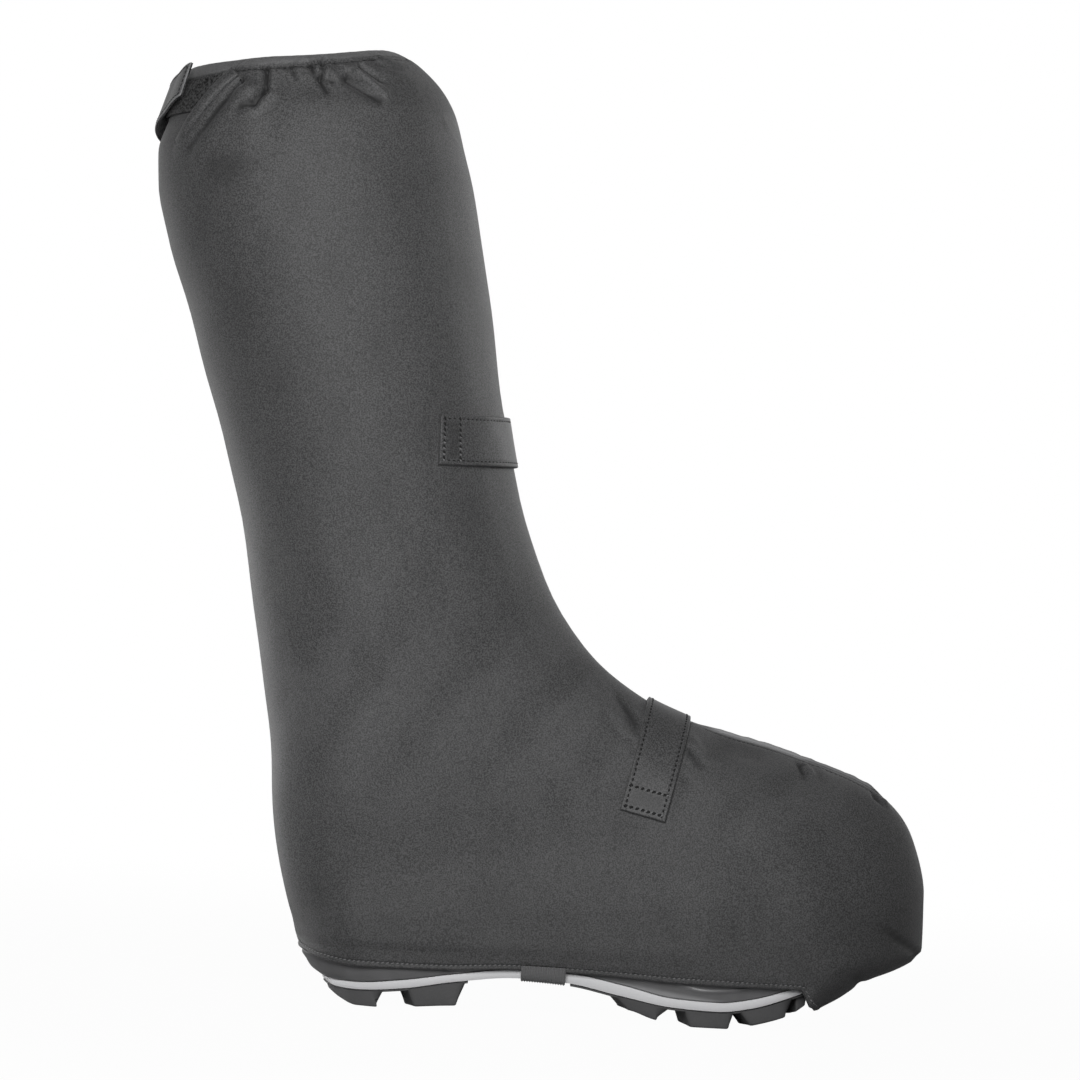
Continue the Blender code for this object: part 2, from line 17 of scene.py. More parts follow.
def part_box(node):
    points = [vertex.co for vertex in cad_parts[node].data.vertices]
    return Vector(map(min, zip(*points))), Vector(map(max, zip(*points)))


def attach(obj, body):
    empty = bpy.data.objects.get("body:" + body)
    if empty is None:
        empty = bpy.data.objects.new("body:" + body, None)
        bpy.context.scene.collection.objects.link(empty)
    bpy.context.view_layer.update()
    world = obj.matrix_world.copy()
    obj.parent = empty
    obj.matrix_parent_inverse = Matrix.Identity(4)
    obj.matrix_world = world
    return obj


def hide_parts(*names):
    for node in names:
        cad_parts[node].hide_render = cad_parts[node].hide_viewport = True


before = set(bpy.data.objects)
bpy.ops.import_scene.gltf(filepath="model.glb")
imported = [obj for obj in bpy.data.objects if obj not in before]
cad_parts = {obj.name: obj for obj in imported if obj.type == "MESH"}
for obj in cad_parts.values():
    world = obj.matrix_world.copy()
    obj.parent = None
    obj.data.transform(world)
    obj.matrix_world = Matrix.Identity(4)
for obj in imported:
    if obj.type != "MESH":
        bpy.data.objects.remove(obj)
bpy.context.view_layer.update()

bl_info = {
    "name": "Cycling Overshoe",
    "version": (1, 0, 0),
    "blender": (4, 5, 0),
    "location": "View3D > Sidebar > Overshoe",
    "description": "Dresses the overshoe's frame in cloth, straps, closure and sole, and sets its stage",
    "category": "Object",
}

BODY = "root"
MM = 0.001
BLUE_SHARE = 1.015


def rows_of(kind, *rows):
    """Rows of one kind."""
    return [kind(*row) for row in rows]


# Sizes that the solids share
SOLE_LENGTH = 273.0
SOLE_TIP = 0.3
HEEL_ROUND = 34.0
TOE_ROUND = 62.0
GAP = 0.3
STRAP_GAP = 0.6
MIDSOLE_BOW = 0.4
TREAD_BOW = 0.3
TREAD_LAYER = 1.1
TREAD_INSET = 1.6
SHIFT = np.array([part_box("midsole")[0].x - SOLE_TIP * MM, 0.0, 0.0])

# Plan of the foot: half width, and how far the middle is moved to the inner side
Plan = namedtuple("Plan", "x half shift")
PLAN = rows_of(
    Plan,
    (-15, 31.0, 0.0), (30, 34.5, 0.0), (75, 33.5, -1.0), (110, 35.0, -1.0), (150, 42.0, 1.0),
    (188, 48.5, 3.0), (225, 47.5, 6.0), (255, 44.0, 8.5), (295, 40.0, 10.0),
)

# Side view of the light foam band
Sole = namedtuple("Sole", "x bottom top")
SOLE = rows_of(
    Sole,
    (0, 11.3, 12.9), (7, 8.3, 11.3), (15, 7.9, 11.3), (39, 9.8, 13.7), (66, 14.6, 18.2),
    (96, 18.0, 22.0), (119, 17.2, 21.8), (146, 12.7, 17.9), (171, 9.0, 13.2), (193, 8.3, 12.5),
    (207, 10.3, 14.5), (233, 18.8, 22.4), (258, 28.6, 32.0), (273, 35.4, 37.8),
)

# Underside of the lugs along the foot
Edge = namedtuple("Edge", "x z")
TREAD = rows_of(
    Edge,
    (0, 8.5), (5, 5.2), (10, 2.5), (15, 0.5), (18, 0.0), (31, 0.0), (46, 1.2), (67, 2.8),
    (148, 6.0), (162, 2.5), (176, 0.0), (199, 0.0), (208, 1.9), (226, 7.0), (238, 14.5),
)

# Lugs: reach along the layer and the floor, distance in from the edge, and the inner one's move
Lug = namedtuple("Lug", "rear front foot_rear foot_front edge inner_move")
HEEL_LUGS = [
    Lug(3.2, 31.4, 8.0, 29.0, 0.9, 0.0),
    Lug(43.0, 71.0, 46.4, 66.8, 0.9, 0.0),
]
FOREFOOT_LUGS = [
    Lug(143.0, 169.4, 149.5, 163.8, 0.9, 7.0),
    Lug(176.5, 200.5, 179.5, 198.3, 0.9, 0.0),
    Lug(203.0, 228.5, 208.8, 225.6, 0.9, 0.0),
    Lug(230.0, 235.5, 230.5, 235.0, 4.0, 0.0),
]
LUG_SWEEP = 5.5
LUG_DRAFT = 1.6
LUG_INNER_SHARE = 0.36
LUG_STEPS = 24
LUG_POINTS = 84
LUG_EASE = 2
LUG_ROUND_STEPS = 5
LUG_REAR_STOP = 2.0
LUG_FLOOR_SHARES = (0.5, 0.1)
HEEL_TREAD_X = (1.0, 71.6)
FOREFOOT_TREAD_X = (121.0, 245.0)

# Stations along the sole unit, the shape of its bowed sides, and the angles that stay sharp
TREAD_STATIONS = 90
FOAM_STATIONS = 150
BOW_POWER = 2.2
TREAD_SHARP = math.radians(50)
FOAM_SHARP = math.radians(45)

# Hem of the cloth, and its sewing line above the hem's edge
HEM = rows_of(
    Edge,
    (-12, 24.9), (0, 21.2), (18, 19.4), (60, 20.1), (90, 22.0), (131, 22.3), (178, 20.8),
    (236, 20.8),
)
HEM_SEWING = rows_of(
    Edge,
    (-11, 2.6), (18, 2.6), (60, 2.2), (96, 2.4), (131, 2.4), (190, 3.4), (236, 2.6), (291, 2.6),
)

# Rand: its top edge inside the cloth, its wall, and how far out it leans at a share of its height
RAND_TOP = rows_of(
    Edge,
    (-10, 29.0), (120, 29.0), (205, 28.0), (240, 32.0), (273, 46.0),
)
RAND_WALL = 2.0
RAND_INSET = 1.4
RAND_FLARE = 1.8
RAND_HEEL_LEAN = 10.6
RAND_HEEL_WIDE = 1.2
RAND_HEEL_REACH = 42.0
RAND_SIDE_REACH = 70.0
RAND_SIDE_FADE = 35.0
Lean = namedtuple("Lean", "height out")
RAND_OUT = rows_of(
    Lean,
    (0.0, 0.2), (0.16, 0.54), (0.43, 0.82), (0.62, 1.0), (0.72, 0.98), (0.82, 0.86), (1.0, 0.82),
)

# Sections of the upper from hem to collar, each in a plane through its back and its front
Section = namedtuple(
    "Section",
    "back_x back_z front_x front_z half spread foot_share back_round front_round",
)
SECTIONS = [
    Section(-12.0, 24.9, 240.4, 8.8, 44.0, 3.0, 1.00, 36, 3),
    Section(-12.9, 28.4, 268.2, 25.2, 44.0, 3.6, 1.00, 36, 30),
    Section(-14.2, 32.3, 292.2, 40.2, 44.0, 4.4, 1.00, 36, 56),
    Section(-15.8, 38.5, 292.4, 66.6, 44.0, 4.4, 1.00, 36, 64),
    Section(-18.4, 46.0, 284.6, 94.8, 44.0, 3.6, 1.00, 38, 80),
    Section(-21.4, 55.5, 268.2, 114.6, 44.0, 3.0, 1.00, 40, 108),
    Section(-24.4, 66.5, 240.0, 126.2, 44.0, 3.0, 1.00, 43, 130),
    Section(-27.1, 80.0, 206.6, 136.0, 44.5, 3.5, 0.90, 47, 136),
    Section(-29.6, 99.0, 172.4, 145.6, 45.0, 4.5, 0.68, 51, 128),
    Section(-31.8, 123.4, 143.8, 158.8, 46.5, 5.5, 0.42, 56, 113),
    Section(-36.0, 157.0, 119.6, 180.4, 48.5, 6.0, 0.18, 62, 94),
    Section(-41.4, 190.5, 101.2, 209.8, 50.8, 6.0, 0.00, 67, 78),
    Section(-47.8, 231.0, 88.0, 245.0, 53.2, 6.0, 0.00, 67, 70),
    Section(-57.5, 270.0, 80.0, 279.5, 55.5, 6.0, 0.00, 68, 70),
    Section(-68.8, 306.0, 73.8, 312.0, 57.5, 6.0, 0.00, 71, 72),
    Section(-79.8, 342.0, 68.2, 348.0, 59.0, 6.0, 0.00, 74, 74),
    Section(-89.6, 370.5, 62.6, 378.0, 60.0, 6.0, 0.00, 76, 76),
    Section(-95.4, 396.4, 58.1, 402.4, 60.0, 6.0, 0.00, 76, 76),
    Section(-95.8, 413.3, 53.4, 419.2, 58.5, 6.0, 0.00, 74, 74),
    Section(-91.8, 428.2, 47.5, 438.4, 55.5, 6.0, 0.00, 70, 70),
    Section(-88.2, 441.0, 39.4, 451.4, 51.0, 6.0, 0.00, 64, 64),
    Section(-84.2, 449.4, 28.4, 460.4, 46.5, 6.0, 0.00, 56, 56),
    Section(-80.8, 454.4, 18.2, 464.0, 43.5, 6.0, 0.00, 49, 49),
]
COLLAR_STEP = len(SECTIONS) - 1
RIM_FROM = 20.4
RIM_RISE = rows_of(
    Edge,
    (-82, 0.0), (-18, 0.0), (0, 0.6), (8, 1.2), (14, 1.7), (19, 1.9),
)
FINE_STEPS = 960
HEM_DIVE_LENGTH = 6.0
HEM_DIVE_END = 3.0
HEM_CORNER_RISE = 3.5
HEM_CORNER_POWER = 4
NORMAL_SHARE = 0.004
NORMAL_STEP = 0.05
SEARCH_STEP = 0.5
SEARCH_SHARES = (0.02, 0.49)
SEARCH_SHARE = 0.01
SEARCH_ROUNDS = 8

# Lean of the shaft to the back, about a place in the foot, coming in between two heights
LEAN = math.radians(1.2)
LEAN_X = 171.0
LEAN_Z = 88.0
LEAN_HEIGHTS = (110.0, 200.0)

# Rows of the cloth up the upper and columns round it, closest where it is gathered
Run = namedtuple("Run", "start end count")
ROWS = rows_of(
    Run,
    (0.0, 1.0, 16), (1.0, 4.0, 32), (4.0, 8.0, 52), (8.0, 10.0, 18), (10.0, 18.0, 30),
    (18.0, 19.4, 12), (19.4, 20.6, 38), (20.6, COLLAR_STEP, 38),
)
COLUMNS = rows_of(
    Run,
    (0.0, 0.06, 12), (0.06, 0.37, 168), (0.37, 0.47, 46), (0.47, 0.494, 12), (0.494, 0.5, 14),
    (0.5, 0.506, 14), (0.506, 0.53, 10), (0.53, 0.61, 24), (0.61, 1.0, 66),
)
INNER_ROW_STRIDE = 4
INNER_COLUMN_STRIDE = 3

# Main folds in the side view: a line from deep to shallow end, height, below 0 for a trough, and width
Fold = namedtuple("Fold", "x1 z1 x2 z2 height width")
OUTER_FOLDS = rows_of(
    Fold,
    (-52.8, 445.7, -47.4, 446.5, -1.5, 3.0), (-42.1, 450.8, -42.3, 441.3, -2.4, 1.6),
    (-42.3, 441.3, -46.9, 434.8, -2.2, 1.6), (-46.9, 434.8, -53.2, 433.1, -1.6, 1.6),
    (-30.5, 453.5, -27.9, 448.2, -0.9, 1.0), (-21.3, 454.8, -16.6, 448.6, -1.9, 1.4),
    (-16.6, 448.6, -12.7, 442.4, -1.8, 1.4), (-15.5, 456.0, -15.8, 450.6, -2.0, 1.6),
    (-15.8, 450.6, -10.3, 447.9, -1.6, 1.6), (-3.0, 449.6, 12.3, 440.1, -2.7, 2.6),
    (1.3, 452.4, 15.3, 442.5, 1.2, 2.0), (2.2, 454.7, 13.1, 449.2, -1.3, 1.5),
    (13.0, 450.7, 25.0, 445.7, -0.8, 3.0), (10.3, 459.9, 24.5, 458.4, 0.8, 1.2),
    (9.7, 456.9, 21.7, 454.9, -0.6, 1.2), (43.3, 431.8, 53.4, 417.3, 0.6, 0.9),
    (-54.3, 445.9, -78.3, 412.9, -1.6, 2.5), (137.0, 156.0, 150.0, 141.0, -0.7, 2.2),
    (136.5, 147.5, 145.5, 134.5, 0.8, 2.6), (143.3, 135.7, 146.1, 129.5, -0.5, 1.6),
    (172.5, 138.1, 177.6, 132.2, 0.8, 2.2), (172.0, 132.6, 177.9, 125.4, -0.9, 1.8),
    (168.6, 119.4, 172.9, 115.0, -0.4, 1.5), (174.9, 137.8, 221.8, 129.0, -1.5, 5.0),
    (227.2, 127.2, 229.4, 121.6, -1.6, 1.2), (233.2, 127.0, 236.8, 121.6, -0.5, 1.5),
    (236.3, 126.6, 239.9, 122.5, 0.4, 1.8), (264.5, 114.8, 268.8, 110.6, -1.3, 1.1),
    (76.0, 110.0, 97.0, 20.0, -1.4, 12.0),
)
INNER_FOLDS = rows_of(
    Fold,
    (-60.3, 450.9, -64.8, 435.9, -1.6, 1.6), (-50.3, 451.9, -48.3, 439.9, -1.1, 1.2),
    (-36.8, 453.4, -34.3, 441.9, -1.7, 1.4), (-28.3, 453.9, -32.3, 445.9, -1.0, 1.1),
    (-7.3, 455.9, -1.3, 442.9, -2.0, 1.9), (-1.3, 455.9, 5.7, 444.9, 1.1, 2.0),
    (6.7, 456.9, 15.2, 444.9, -1.4, 1.7), (18.7, 457.9, 28.7, 446.9, -1.0, 2.2),
    (139.2, 153.3, 147.0, 141.4, -1.4, 1.6), (135.7, 149.5, 143.5, 135.9, 1.1, 2.0),
    (173.5, 137.8, 179.5, 129.4, 1.1, 2.0), (172.2, 131.7, 181.5, 122.9, -1.5, 2.0),
    (176.0, 138.4, 219.0, 129.9, -1.3, 5.0), (230.5, 130.9, 235.5, 123.9, -1.3, 1.3),
    (247.0, 123.9, 250.0, 116.9, -0.9, 1.4), (263.0, 117.4, 267.5, 108.4, -1.2, 1.4),
    (71.0, 110.0, 94.0, 20.0, -1.2, 12.0),
)
FOLD_FADE = 0.5
FOLD_LIP = 0.4
FOLD_LIP_PLACE = 1.9
FOLD_LIP_WIDTH = 1.3
FOLD_SOFT_WIDTH = 4.0
FOLD_SOFT_END = 0.4

# Broad swells and hollows in the side view
Swell = namedtuple("Swell", "x z reach_x reach_z height")
OUTER_SWELLS = rows_of(
    Swell,
    (-50.0, 440.1, 6.0, 6.0, 1.6), (-17.3, 444.9, 20.0, 6.0, -1.0), (231.4, 123.4, 2.4, 2.4, 1.3),
    (271.0, 112.6, 2.6, 2.6, 1.2),
)
INNER_SWELLS = rows_of(
    Swell,
    (-45.0, 442.0, 6.0, 7.0, 1.3), (-20.0, 445.0, 12.0, 6.0, 0.9), (271.0, 109.0, 5.0, 5.0, 0.8),
)

# Slack of the cloth as long shallow waves
Wave = namedtuple("Wave", "length_x length_y length_z height turn")
WAVES = [
    Wave(61.0, 140.0, 87.0, 0.2, 0.4),
    Wave(-43.0, 90.0, 71.0, 0.14, 1.9),
    Wave(29.0, -70.0, 53.0, 0.09, 3.1),
]

# Tones of the cloth: painted shade in creases, and painted light and shade that change with height and
# towards the toe
# Attribute of painted light and painted shade on the cloth, the straps and the tab, with the colour
# factors for each end
LIGHT_AND_SHADE_TONE = "tone"
PAINTED_SHADE_FACTOR = 0.35
PAINTED_LIGHT_FACTOR = 5.0
# Painted shade in creases: how deep a crease must lie to be fully darkened, and over how many rows and
# columns
CREASE_SHADE_DEPTH = 1.1
CREASE_SHADE_ROWS = 5
CREASE_SHADE_COLUMNS = 4
# Painted shade low on the upper and painted light at the ankle, by height
Height = namedtuple("Height", "z tone")
HEIGHT_PAINTED_LIGHT = rows_of(
    Height,
    (20, -0.3), (50, -0.22), (75, 0.0), (105, 0.13), (150, 0.15), (200, 0.1), (270, 0.0),
)
# Painted shade towards the toe
TOE_PAINTED_SHADE = -0.2
TOE_PAINTED_SHADE_X = (245.0, 290.0)

# Collar cuff, vamp seam, hem and gathers of the cloth
CUFF_BACK_STEP = 20.45
CUFF_FRONT_STEP = 21.3
CUFF_FOOT = 0.4
CUFF_EDGE = 0.5
CUFF_SEAM_DEPTH = 0.6
CUFF_SEAM_WIDTH = 0.7
CUFF_FRONT_FADE = 0.22
CUFF_LIGHT = 0.34
CUFF_LIGHT_START = 0.75
CUFF_LIGHT_FADE = 1.5
CUFF_GATHER = 0.06
CUFF_EASE = 8.0
EDGE_ROUND = 0.7
PLEAT_DEPTH = 0.4
PLEAT_REACH = 4.5
PLEAT_LENGTHS = (7.3, 19.0)
SEAM_FROM = 4.9
SEAM_TO = 7.9
SEAM_FADE = 0.4
SEAM_HALF = 2.4
# Share by which the seam's painted light drops past its pucker
SEAM_LIGHT_DROP = 0.45
SEAM_PUCKER = 9.0
SEAM_PUCKER_DEPTH = 0.15
SEAM_PUCKER_X = 226.0
SEAM_GROOVE_DEPTH = 0.5
SEAM_GROOVE_WIDTH = 0.8
# Painted light in a band along the vamp seam
SEAM_LIT_BAND = 8.0
SEAM_LIT_BAND_FADE = 6.0
SEAM_PAINTED_LIGHT = 0.8
SEAM_SEWING = 8.2
SEAM_SEWN = (5.1, 7.7)
HEM_GROOVE_DEPTH = 0.45
HEM_GROOVE_WIDTH = 0.6
HEM_LIP = 0.25
HEM_LIP_FADE = 0.8
Bump = namedtuple("Bump", "up reach height")
TOE_HEM = [
    Bump(14.0, 8.0, 0.8),
    Bump(26.0, 2.6, -1.2),
    Bump(41.0, 11.0, 1.2),
    Bump(57.0, 2.0, -1.0),
]
TOE_HEM_WAY = 0.84
TOE_HEM_FADE = 0.08
TOE_HEM_TOP = 3.0
TOE_HEM_TOP_FADE = 0.8
TOE_GATHER = 4.3
TOE_GATHER_DEPTH = 0.35
TOE_GATHER_REACH = 12.0
SIDE_FACING = (0.08, 0.4)
STRAP_COVER = 0.9
STRAP_MARGIN = 2.0

# Straps: the plane they follow, its two levels, the way they run, and where they end
Strap = namedtuple("Strap", "across low high along end step_low step_high reach")
SHIN_STRAP = Strap((0.0, 0.0, 1.0), 265.5, 289.9, (1.0, 0.0, 0.0), 46.6, 11.5, 15.0, 0.22)
INSTEP_STRAP = Strap(
    (-0.977, 0.0, 0.213), -137.6, -115.0, (0.213, 0.0, 0.977), 129.8, 2.5, 10.5, 0.24
)
STRAP_LEVELS = 36
STRAP_POINTS = 190
STRAP_SEARCH_SHARES = 241
STRAP_SEARCH_STEPS = 181
STRAP_EDGE_ROUND = 0.6
STRAP_EDGE_LEAST = 0.35
STRAP_SEWING_INSET = 2.2
STRAP_GROOVE_DEPTH = 0.25
STRAP_GROOVE_WIDTH = 0.4
STRAP_STITCH_SINK = 0.6
STRAP_WAVE_LENGTH = 17.0
STRAP_WAVE_WIDTH = 5.0
STRAP_WAVE_HEIGHT = 0.1
BAND_LINE_POINTS = 40
SHIN_BARS = (2.2, 10.8)
INSTEP_BARS = (2.4, 12.4)
BAR_LOOP = 1.2
BAR_RISE = 0.1
BAR_BOX_FADE = 2.0
BAR_BOX_DARK = 0.38
# Painted sheen on the crest of each strap over the front
CREST_PAINTED_SHEEN = 0.5
CREST_SHEEN_REACH = 14.0

# Sewing: lean of the stitches, and factors on the pitch, stitch and thread of the settings
Stitches = namedtuple("Stitches", "lean pitch stitch thread", defaults=(0.0, 1.0, 1.0, 1.0))
PLAIN_STITCHES = Stitches()
HEM_STITCHES = Stitches(lean=0.45)
COLLAR_STITCHES = Stitches(pitch=1.3, stitch=1.2)
VAMP_STITCHES = Stitches(stitch=1.1)
SHIN_STITCHES = Stitches(pitch=1.15, thread=1.2)
INSTEP_STITCHES = Stitches(pitch=1.15, thread=1.8)
BAR_STITCHES = Stitches(0.75, 1.1, 0.8, 1.5)
BAR_LOOPS = Stitches(0.4, 1.1, 1.2, 2.5)
THREAD_RISE = 0.8

# Rear closure: reach round the collar as a share of the way round, and steps up the upper
Closure = namedtuple("Closure", "start end low high columns rows")
COLLAR_LOOP = Closure(-0.06, 0.165, 19.15, 21.2, 90, 44)
COLLAR_TAB = Closure(-0.09, 0.088, 19.5, 21.4, 70, 34)
PATCH_THICK = 1.2
PATCH_SINK = 1.0
PATCH_THIN = 0.6
PATCH_CUFF_GAP = 0.05
TUFT_HEIGHT = 0.25
TUFT_SEED = 7
TAB_RISE = 9.0
TAB_STAND_OFF = 4.1
TAB_END_LIFT = 3.0
TAB_END_SHARE = 0.05
TAB_LAYERS = ((0.0, 0.65), (0.8, 1.5))
TAB_SEWING_INSET = 2.0
# Painted highlight along the edges of the tab's face
TAB_EDGE_HIGHLIGHT = 0.35
TAB_HIGHLIGHT_WIDTH = 1.5
TAB_HIGHLIGHT_FADE = 1.0
TURNED_EDGE = Fold(-56.8, 450.2, -84.3, 416.2, 2.4, 6.4)
TURNED_EDGE_LIFT = 2.0
TURNED_EDGE_LIFT_SHARE = 0.4
TURNED_EDGE_TIP = 0.02
TURNED_EDGE_BLUNT = 0.35
TURNED_EDGE_OVER = 0.3
TURNED_EDGE_UNDER = 0.4
TURNED_EDGE_BLUR = 2.0
TURNED_EDGE_POINTS = 70
TURNED_EDGE_COLUMNS = 17
CLOSURE_LIFT = 2.4
CLOSURE_END = -36.0
CLOSURE_FADE = 15.0
CLOSURE_LOW = 402.0
CLOSURE_RISE = 28.0
CLOSURE_CUFF_SHARE = 0.65
CLOSURE_CUFF_FADE = 5.0

# Underfoot elastic
ELASTIC_X = (97.0, 118.4)
ELASTIC_TOP = 24.6
ELASTIC_HEM_DROP = 0.6
ELASTIC_FLAT_INSET = 2.5
ELASTIC_MIDDLE_SHARE = 0.5
ELASTIC_THICK = 0.8
ELASTIC_POINTS = 120
ELASTIC_LEVELS = 24
RIB_STEP = 2.0
Turn = namedtuple("Turn", "stand_share rise")
ELASTIC_TURN = [
    Turn(0.8, 1.6),
    Turn(0.3, 0.3),
]

# Edges and piping of the rand in the side view
RAND_HEEL_END = (Edge(58.7, 20.4), Edge(69.1, 18.0))
RAND_ARCH_END = (Edge(131.9, 21.4), Edge(145.7, 19.7))
RAND_PIPING = rows_of(
    Edge,
    (166.0, 22.5), (172.0, 20.7), (178.0, 18.6), (185.4, 17.5), (196.6, 18.1), (204.0, 19.5),
    (210.1, 21.3), (216.0, 23.5),
)
RAND_STEPS = 26
RAND_STATIONS = 170
RAND_HEEL_BLUR = (-0.2 * MM, 0.2 * MM)
RAND_ARCH_BLUR = (-2.0 * MM, 0.5 * MM)
PIPING_RISE = 0.6
PIPING_WIDTH = 0.7
COUNTER_RISE = 0.5
COUNTER_EDGE = 1.2
COUNTER_FADE = 20.0

# Looks with a fine and a broad speckle, each with its scale and detail, and what the roughness follows
Look = namedtuple("Look", "sheen specular fine broad share dark light rough swing follows bump strength")
THREAD_LOOK = Look(0.2, 0.35, (2600.0, 2.0), (160.0, 2.0), 0.5, 0.6, 1.4, 0.55, 0.2, "fine", 0.1, 0.6)
FOAM_LOOK = Look(0.0, 0.35, (900.0, 3.0), (45.0, 3.0), 0.4, 0.9, 1.1, 0.5, 0.15, "fine", 0.06, 0.5)
TREAD_LOOK = Look(0.0, 0.4, (1300.0, 3.0), (90.0, 4.0), 0.5, 0.75, 1.3, 0.5, 0.25, "broad", 0.1, 0.6)
INSOLE_LOOK = Look(0.3, 0.2, (1200.0, 2.0), (40.0, 3.0), 0.5, 0.7, 1.4, 0.85, 0.1, "fine", 0.2, 0.6)

# Lights: the setting of their power, place, target and size in metres, and the angle they fan out over
Light = namedtuple("Light", "name setting place target size fan")
LIGHTS = [
    Light("key_light", "key", (-0.1, -1.05, 0.55), (-0.06, 0.0, 0.3), 0.5, 180.0),
    Light("left_rim", "left_rim", (-0.7, 0.5, 0.08), (-0.11, 0.0, 0.0), 0.5, 70.0),
    Light("heel_light", "heel", (-0.75, 0.2, 0.05), (-0.1, 0.0, 0.03), 0.3, 40.0),
    Light("right_rim", "right_rim", (0.55, 0.35, 0.5), (-0.05, 0.0, 0.4), 0.3, 50.0),
]
FLOOR_RADIUS = 14.0
FLOOR_POINTS = 96
FLOOR_FADE = (0.2, 1.1)
SURROUND_BEHIND = (0.0, 0.7)
SURROUND_OVERHEAD = (0.03, 0.3)


def length(name, size, about):
    """Length that a user can change, given in millimetres."""
    return FloatProperty(name=name, description=about, default=size * MM, unit="LENGTH", precision=5)


def colour(name, grey, about):
    """Neutral colour, very slightly blue, that a user can change."""
    tone = (grey, grey, grey * BLUE_SHARE)
    return FloatVectorProperty(
        name=name, description=about, default=tone, subtype="COLOR", min=0.0, max=1.0
    )


def number(name, value, about):
    """Plain number that a user can change."""
    return FloatProperty(name=name, description=about, default=value, precision=3)


class ClothSettings(bpy.types.PropertyGroup):
    """Sizes and colours of the cloth upper."""

    wall: length("Wall", 1.2, "Thickness of the cloth")
    cuff: length("Cuff", 0.9, "How far the collar's cuff bulges out")
    seam: length("Vamp seam", 1.5, "Height of the seam along the vamp")
    slack: number("Slack", 1.0, "Strength of the long waves of the cloth")
    folds: number("Folds", 1.4, "Strength of the main folds")
    colour: colour("Colour", 0.076, "Colour of the coated cloth")
    weave: length("Weave", 0.62, "Distance between the threads of the weave")


class SewingSettings(bpy.types.PropertyGroup):
    """Sizes and colours of the sewing."""

    pitch: length("Pitch", 2.35, "Distance between stitches")
    stitch: length("Stitch", 1.9, "Length of one stitch")
    thread: length("Thread", 0.6, "Width of the thread")
    light: colour("Light thread", 0.2, "Colour of the light thread")
    dark: colour("Dark thread", 0.008, "Colour of the dark thread")


class TrimSettings(bpy.types.PropertyGroup):
    """Sizes and colours of straps, closure and elastic."""

    strap: length("Strap", 1.8, "Thickness of the straps")
    rib_pitch: length("Rib pitch", 1.2, "Distance between the ribs of the elastic")
    rib: length("Rib", 0.42, "Radius of the ribs of the elastic")
    strap_colour: colour("Straps", 0.078, "Colour of the straps")
    # The tab is the same cloth, coloured lighter: painted light for its face, which turns away from the
    # lamps
    tab_colour: colour("Tab", 0.12, "Colour of the collar tab")
    pile_colour: colour("Pile", 0.022, "Colour of the loop patch")
    elastic_colour: colour("Elastic", 0.15, "Colour of the elastic")


class SoleSettings(bpy.types.PropertyGroup):
    """Sizes and colours of the sole unit."""

    lug_bevel: length("Lug bevel", 1.0, "Rounding of the lugs' edges")
    foam: colour("Foam", 0.78, "Colour of the light band")
    arch: colour("Arch", 0.3, "Colour of the rand at the arch")
    # The rand's colour is partly its own dark grey and partly painted light against the shade under the
    # hem
    rand: colour("Rand", 0.14, "Colour of the rand")
    tread: colour("Tread", 0.105, "Colour of the treads")
    insole: colour("Insole", 0.05, "Colour of the insole")


class StageSettings(bpy.types.PropertyGroup):
    """Camera, floor and lights."""

    picture: length("Picture", 528.0, "Width that the picture shows at the shoe")
    distance: length("Distance", 2500.0, "Distance of the camera")
    middle_x: length("Middle X", 2.2, "Place of the picture's middle along the shoe")
    middle_z: length("Middle Z", 229.6, "Height of the picture's middle")
    roll: FloatProperty(
        name="Roll", description="Turn of the camera", default=math.radians(3.3), subtype="ANGLE"
    )
    floor: colour("Floor", 0.45, "Colour of the floor")
    glow: number("Floor glow", 0.97, "How far the floor near the shoe is whitened")
    key: number("Key", 8.5, "Power of the large front light")
    left_rim: number("Left rim", 0.42, "Power of the light behind the heel")
    heel: number("Heel", 0.11, "Power of the low light on the heel")
    right_rim: number("Right rim", 0.15, "Power of the light behind the toe")
    back: number("Back", 1.2, "Brightness of the surround behind the shoe")
    front: number("Front", 0.1, "Brightness of the surround in front of the shoe")
    ceiling: number("Ceiling", 0.3, "Share of the surround's light that is left overhead")


def slopes(xs, ys):
    """Slope of the curve at each station, level at a peak so that it never overshoots."""
    steps = np.diff(ys) / np.diff(xs)
    before = steps[:-1]
    after = steps[1:]
    agree = before * after > 0
    total = np.where(agree, before + after, 1.0)
    inner = np.where(agree, 2 * before * after / total, 0.0)
    return np.concatenate([steps[:1], inner, steps[-1:]])


def curve(xs, ys, at):
    """Smooth curve through the stations, read at one place or many."""
    xs = np.asarray(xs, float)
    ys = np.asarray(ys, float)
    at = np.clip(at, xs[0], xs[-1])
    i = np.clip(np.searchsorted(xs, at, side="right") - 1, 0, len(xs) - 2)
    width = xs[i + 1] - xs[i]
    f = (at - xs[i]) / width
    slope = slopes(xs, ys)
    start = (1 + 2 * f) * (1 - f) ** 2 * ys[i] + f * (1 - f) ** 2 * width * slope[i]
    end = f**2 * (3 - 2 * f) * ys[i + 1] - f**2 * (1 - f) * width * slope[i + 1]
    return start + end


def column(table, name, at):
    """One column of a table, read at places along its first column."""
    return curve([row[0] for row in table], [getattr(row, name) for row in table], at)


def smooth_step(f):
    """0 to 1 with level ends."""
    f = np.clip(f, 0.0, 1.0)
    return f * f * (3 - 2 * f)


def bell(distance, width):
    """1 at no distance, fading softly over the width."""
    return np.exp(-((distance / width) ** 2))


def round_end(distance, length_of_end):
    """Share of the full width at a distance from a rounded end."""
    left = np.clip(1 - distance / length_of_end, 0.0, 1.0)
    return np.sqrt(1 - left * left)


def spread(runs):
    """Places along runs of even steps, without the last end."""
    return np.concatenate([np.linspace(run.start, run.end, run.count, False) for run in runs])


